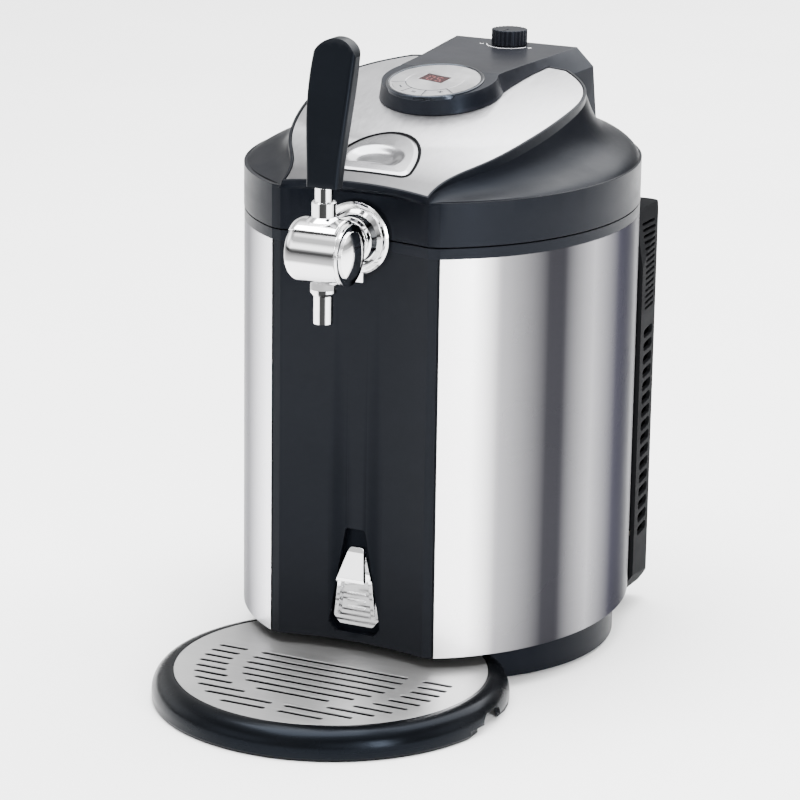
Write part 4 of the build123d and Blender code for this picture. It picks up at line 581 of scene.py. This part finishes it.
WINDOW_AT, WINDOW_TURN = (-2, 4), -12
lid_print_and_shade(
    "display_digits",
    digit("0", -3.6) + digit("5", 3.6) + [bar(6.9, -3.4, 0.8, 0.8, 0)],
    low=0.21,
    high=0.27,
    material=DIGITS,
    place=DISC_PLACE
    @ Matrix.Translation((WINDOW_AT[0] * MM, WINDOW_AT[1] * MM, 0))
    @ Matrix.Rotation(radians(WINDOW_TURN), 4, "Z"),
)

# Printed scale round the pressure knob, with a minus at its left end and a plus at its right.
# It lies on the console's top, which slopes by a degree.
KNOB_Y, CONSOLE_TOP = 109, 409.8 - 0.227
lid_print_and_shade(
    "knob_scale",
    [
        arc_band(16.0, 16.7, 200, 340),
        bar(-19.0, -6.5, 3.2, 0.7, 0),
        bar(19.0, -6.5, 3.2, 0.7, 0),
        bar(19.0, -6.5, 0.7, 3.2, 0),
    ],
    low=0.0,
    high=0.12,
    material=PRINT_PALE,
    place=Matrix.Translation(at(0, KNOB_Y, CONSOLE_TOP)) @ Matrix.Rotation(radians(1.0), 4, "X"),
)

# ------------------------------------------------------------------ drip grid
# Millimetres. Each row of slots has a long slot between the inner arcs, unless it would be
# short, and a slot at each side from the gap's arc to the outer arc.
TRAY_Y, GRID_TOP, GRID_LOW = -170.8, 20.5, 19.6
SLOT_ROWS, ROW_PITCH, FIRST_ROW, SLOT_HALF = 10, 10.4, 12.0, 2.1
SLOT_INNER, SLOT_GAP, SLOT_OUTER, SLOT_BRIDGE = 57.6, 68.0, 90.3, 4.3
ARC_BACK, SHORT_SLOT = 7.0, 15


def chord(radius, y):
    """Half the length of a circle's chord at a distance from its middle."""
    return sqrt(max(radius * radius - y * y, 0))


def rounded_bar(x0, x1, y):
    """Outline of a slot with round ends."""
    half, count = SLOT_HALF, 7
    turns = [radians(-90 + 180 * i / count) for i in range(count + 1)]
    shape = [(x1 - half + half * cos(a), y + half * sin(a)) for a in turns]
    return shape + [(x0 + half - (px - x1 + half), 2 * y - py) for px, py in shape]


def grid_loops():
    """The plate's outline, which follows the CAD node's own edge, and its slots."""
    corners = [v.co for v in NODES["drip_grid"].data.vertices]
    edge_r = max(Vector((c.x, c.y - (TRAY_Y + AXIS_Y) * MM)).length for c in corners) / MM
    rear = max(c.y for c in corners) / MM - AXIS_Y
    open_at = degrees(atan2(rear - TRAY_Y, chord(edge_r, rear - TRAY_Y)))
    count = 150
    edge = [radians(180 - open_at + (180 + 2 * open_at) * i / count) for i in range(count + 1)]
    loops = [[(edge_r * cos(a), TRAY_Y + edge_r * sin(a)) for a in edge]]
    for row in range(SLOT_ROWS):
        row_y = FIRST_ROW - row * ROW_PITCH
        inner = chord(SLOT_INNER, row_y)
        gap = max(chord(SLOT_GAP, row_y), SLOT_BRIDGE)
        outer = chord(SLOT_OUTER, row_y)
        y = TRAY_Y - ARC_BACK + row_y
        if inner > SHORT_SLOT:
            loops.append(rounded_bar(-inner, inner, y))
        loops.append(rounded_bar(-outer, -gap, y))
        loops.append(rounded_bar(gap, outer, y))
    return loops


def slotted_plate(name, loops):
    """A closed flat plate from an outline and the holes in it."""
    flat = [point for loop in loops for point in loop]
    count = len(flat)
    vertices = [tuple(at(x, y, z)) for z in (GRID_TOP, GRID_LOW) for x, y in flat]
    faces = tessellate_polygon([[Vector((x, y, 0)) for x, y in loop] for loop in loops])
    shapes = [tuple(f) for f in faces] + [tuple(i + count for i in reversed(f)) for f in faces]
    first = 0
    for loop in loops:
        size = len(loop)
        for i in range(size):
            a, b = first + i, first + (i + 1) % size
            shapes.append((a, b, b + count, a + count))
        first += size
    mesh = bpy.data.meshes.new(name)
    mesh.from_pydata(vertices, [], shapes)
    work = bmesh.new()
    work.from_mesh(mesh)
    bmesh.ops.recalc_face_normals(work, faces=work.faces)
    work.to_mesh(mesh)
    work.free()
    return mesh


grid_mesh = slotted_plate("grid_plate", grid_loops())
grid_plate = piece("grid_plate", grid_mesh, GRID, "tray")
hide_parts("drip_grid")

# ------------------------------------------------------------------ release button
# Crowned D-shaped cap with a finger dish, whose ledge runs in an arc across it. Millimetres.
BUTTON_Y, BUTTON_HALF, BUTTON_DEEP, CORNER_R = -125.0, 30.0, 48.0, 4.5
ARC_START = 5
# The crown is part of a ball, so that the cap follows the lid plate.
CROWN_Y, CROWN_Z, CROWN_R = 116.5, -254.3, 660.9
# The rim drops by this much over its outer part.
RIM_DROP, RIM_FROM = 0.9, 0.9
# The dish: its middle, half sizes and depth, how much of its radius slopes, and where and over
# what length it gets shallower towards the front.
DISH_X, DISH_Y, DISH_WIDE, DISH_LONG, DISH_DEEP = -1, -108.5, 21.0, 14.5, 3.4
DISH_SLOPE, SHALLOW_AT, SHALLOW_LONG = 0.42, -116, 20
MIDDLE = (0.0, -104.0)
SKIRT, UNDER = 4.0, 7.0
RINGS, ARC_STEPS, CORNER_STEPS = 40, 96, 8


def button_edge():
    """Points round the button's outline."""
    points = []
    for i in range(ARC_STEPS + 1):
        a = radians(180 * i / ARC_STEPS)
        y = BUTTON_Y + ARC_START + (BUTTON_DEEP - ARC_START) * sin(a)
        points.append((BUTTON_HALF * cos(a), y))
    corner_x, corner_y = BUTTON_HALF - CORNER_R, BUTTON_Y + CORNER_R
    for x, start in ((-corner_x, 180), (corner_x, 270)):
        for i in range(CORNER_STEPS + 1):
            a = radians(start + 90 * i / CORNER_STEPS)
            points.append((x + CORNER_R * cos(a), corner_y + CORNER_R * sin(a)))
    return points


def smooth(value):
    """0 to 1 with no kink at either end."""
    value = min(max(value, 0), 1)
    return value * value * (3 - 2 * value)


def button_high(x, y, share):
    """Height of the cap at a point; share is 0 in the middle and 1 at the rim."""
    z = CROWN_Z + sqrt(CROWN_R**2 - x * x - (y - CROWN_Y) ** 2)
    z -= RIM_DROP * smooth((share - RIM_FROM) / (1 - RIM_FROM))
    dx, dy = (x - DISH_X) / DISH_WIDE, (y - DISH_Y) / DISH_LONG
    away = sqrt(dx * dx + dy * dy)
    lean = 0.5 + 0.5 * smooth((y - SHALLOW_AT) / SHALLOW_LONG)
    return z - DISH_DEEP * lean * smooth((1.0 - away) / DISH_SLOPE)


def button_cap_mesh(name):
    """The cap as rings from its middle out to the rim, with a skirt and a closed underside."""
    work = bmesh.new()
    rim = button_edge()
    rows = []
    for ring in range(1, RINGS + 1):
        share = ring / RINGS
        row = []
        for px, py in rim:
            x = MIDDLE[0] + (px - MIDDLE[0]) * share
            y = MIDDLE[1] + (py - MIDDLE[1]) * share
            row.append(work.verts.new(at(x, y, button_high(x, y, share))))
        rows.append(row)
    rows.append([work.verts.new(at(px, py, button_high(px, py, 1) - SKIRT)) for px, py in rim])
    centre_high = button_high(*MIDDLE, 0)
    centre = work.verts.new(at(*MIDDLE, centre_high))
    low_centre = work.verts.new(at(*MIDDLE, centre_high - UNDER))
    for i in range(len(rim)):
        j = (i + 1) % len(rim)
        work.faces.new((centre, rows[0][i], rows[0][j]))
        for near, far in zip(rows, rows[1:]):
            work.faces.new((near[i], far[i], far[j], near[j]))
        work.faces.new((rows[-1][i], low_centre, rows[-1][j]))
    bmesh.ops.remove_doubles(work, verts=work.verts, dist=0.00001)
    for face in work.faces:
        face.smooth = True
    return finished_mesh(name, work)


button_cap = piece(
    "button_cap", button_cap_mesh("button_cap"), SATIN_CHROME, "release"
)
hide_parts("lid_button")

# ------------------------------------------------------------------ floor
FLOOR_HALF = 40
work = bmesh.new()
bmesh.ops.create_grid(work, x_segments=1, y_segments=1, size=FLOOR_HALF)
floor_mesh = bpy.data.meshes.new("floor")
work.to_mesh(floor_mesh)
work.free()
floor = add_object("floor", floor_mesh)
floor_material, tree, shader = new_material("floor")
patches = span(tree, noise(tree, coords(tree), scale=3, detail=2), 0, 1)
pale = mix_colour(tree, patches, (0.90, 0.90, 0.90), (0.93, 0.93, 0.93))
tree.links.new(pale, shader.inputs["Base Color"])
shader.inputs["Roughness"].default_value = 0.9
shader.inputs["Specular IOR Level"].default_value = 0.1
floor_mesh.materials.append(floor_material)

# ------------------------------------------------------------------ studio
# Pale walls with darker gaps between the soft boxes, as stops of (direction in degrees,
# brightness). Direction 0 is -Y and 90 is +X.
STUDIO = (
    (-180, 0.5), (-140, 0.3), (-115, 0.9), (-90, 1.3), (-66, 0.5), (-45, 1.3), (-20, 1.2),
    (-8, 0.2), (2, 0.06), (14, 0.1), (24, 1.2), (44, 1.5), (58, 1.3), (70, 0.3), (80, 0.12),
    (92, 0.5), (104, 1.1), (125, 0.9), (140, 0.2), (158, 0.1), (180, 0.5),
)
# The same studio from the floor line upwards: (height of the direction from 0 to 1, brightness).
RISE = (
    (0.0, 0.3), (0.10, 0.2), (0.17, 1.1), (0.45, 1.25), (0.6, 0.35), (0.75, 0.4), (0.86, 1.3),
    (1.0, 1.2),
)
# Heights of the direction between which the walls give way to an even ceiling.
WALL_TOP, CEILING = 0.35, 0.8
BRIGHTNESS = 2.3

world = bpy.data.worlds.new("studio")
bpy.context.scene.world = world
world.use_nodes = True
tree = world.node_tree
facing = split(tree, "Generated")
bearing = math_of(tree, "ARCTAN2", facing["X"], scaled(tree, facing["Y"], -1))
share = span(tree, bearing, 0, 1, -pi, pi)
walls = ramp(tree, share, [((turn + 180) / 360, (level,) * 3) for turn, level in STUDIO])
rise = ramp(tree, facing["Z"], [(high, (level,) * 3) for high, level in RISE])
height = span(tree, facing["Z"], 0, 1, WALL_TOP, CEILING)
all_round = mix_colour(tree, height, walls, (1.0, 1.0, 1.0))
background = tree.nodes["Background"]
tree.links.new(multiply(tree, all_round, rise), background.inputs["Color"])
background.inputs["Strength"].default_value = BRIGHTNESS

# Soft boxes: name, place, what they point at, width and height in metres, and watts.
LAMPS = (
    ("top_light", (-0.25, -0.2, 2.3), (0, 0, 0.2), 1.6, 1.6, 130),
    ("front_light", (1.9, -1.3, 0.7), (0, 0, 0.25), 0.35, 1.2, 60),
    ("floor_light", (0.5, 2.5, 3.2), (0.2, 1.2, 0), 4, 4, 420),
)
for name, place, target, wide, high, power in LAMPS:
    lamp = bpy.data.lights.new(name, "AREA")
    lamp.shape = "RECTANGLE"
    lamp.size = wide
    lamp.size_y = high
    lamp.energy = power
    aim = (Vector(target) - Vector(place)).to_track_quat("-Z", "Y")
    lit = add_object(name, lamp)
    lit.matrix_world = Matrix.Translation(Vector(place)) @ aim.to_matrix().to_4x4()

# ------------------------------------------------------------------ camera
# Solved from the photo's edges: its bearing, height angle and roll in degrees, its distance,
# the point it looks at in millimetres from the body's axis, and its focal length in pixels.
VIEW_AZ, VIEW_EL, ROLL = radians(25.48), radians(16.05), radians(0.83)
DISTANCE, SIDE, TARGET_Z, FOCAL = 2465.92, -28.71, 168.0, 3435.58
SENSOR, PICTURE = 36, 800

back = Vector((sin(VIEW_AZ) * cos(VIEW_EL), -cos(VIEW_AZ) * cos(VIEW_EL), sin(VIEW_EL)))
right = Vector((cos(VIEW_AZ), sin(VIEW_AZ), 0))
up = right.cross(-back)
right_rolled = cos(ROLL) * right + sin(ROLL) * up
up_rolled = -sin(ROLL) * right + cos(ROLL) * up
eye = Vector((SIDE * cos(VIEW_AZ), SIDE * sin(VIEW_AZ), TARGET_Z)) + back * DISTANCE
lens = bpy.data.cameras.new("camera")
lens.sensor_width = SENSOR
lens.lens = FOCAL * SENSOR / PICTURE
lens.clip_end = 200
camera = add_object("camera", lens)
camera.matrix_world = Matrix(
    (
        (right_rolled.x, up_rolled.x, back.x, eye.x * MM),
        (right_rolled.y, up_rolled.y, back.y, (eye.y + AXIS_Y) * MM),
        (right_rolled.z, up_rolled.z, back.z, eye.z * MM),
        (0, 0, 0, 1),
    )
)
bpy.context.scene.camera = camera
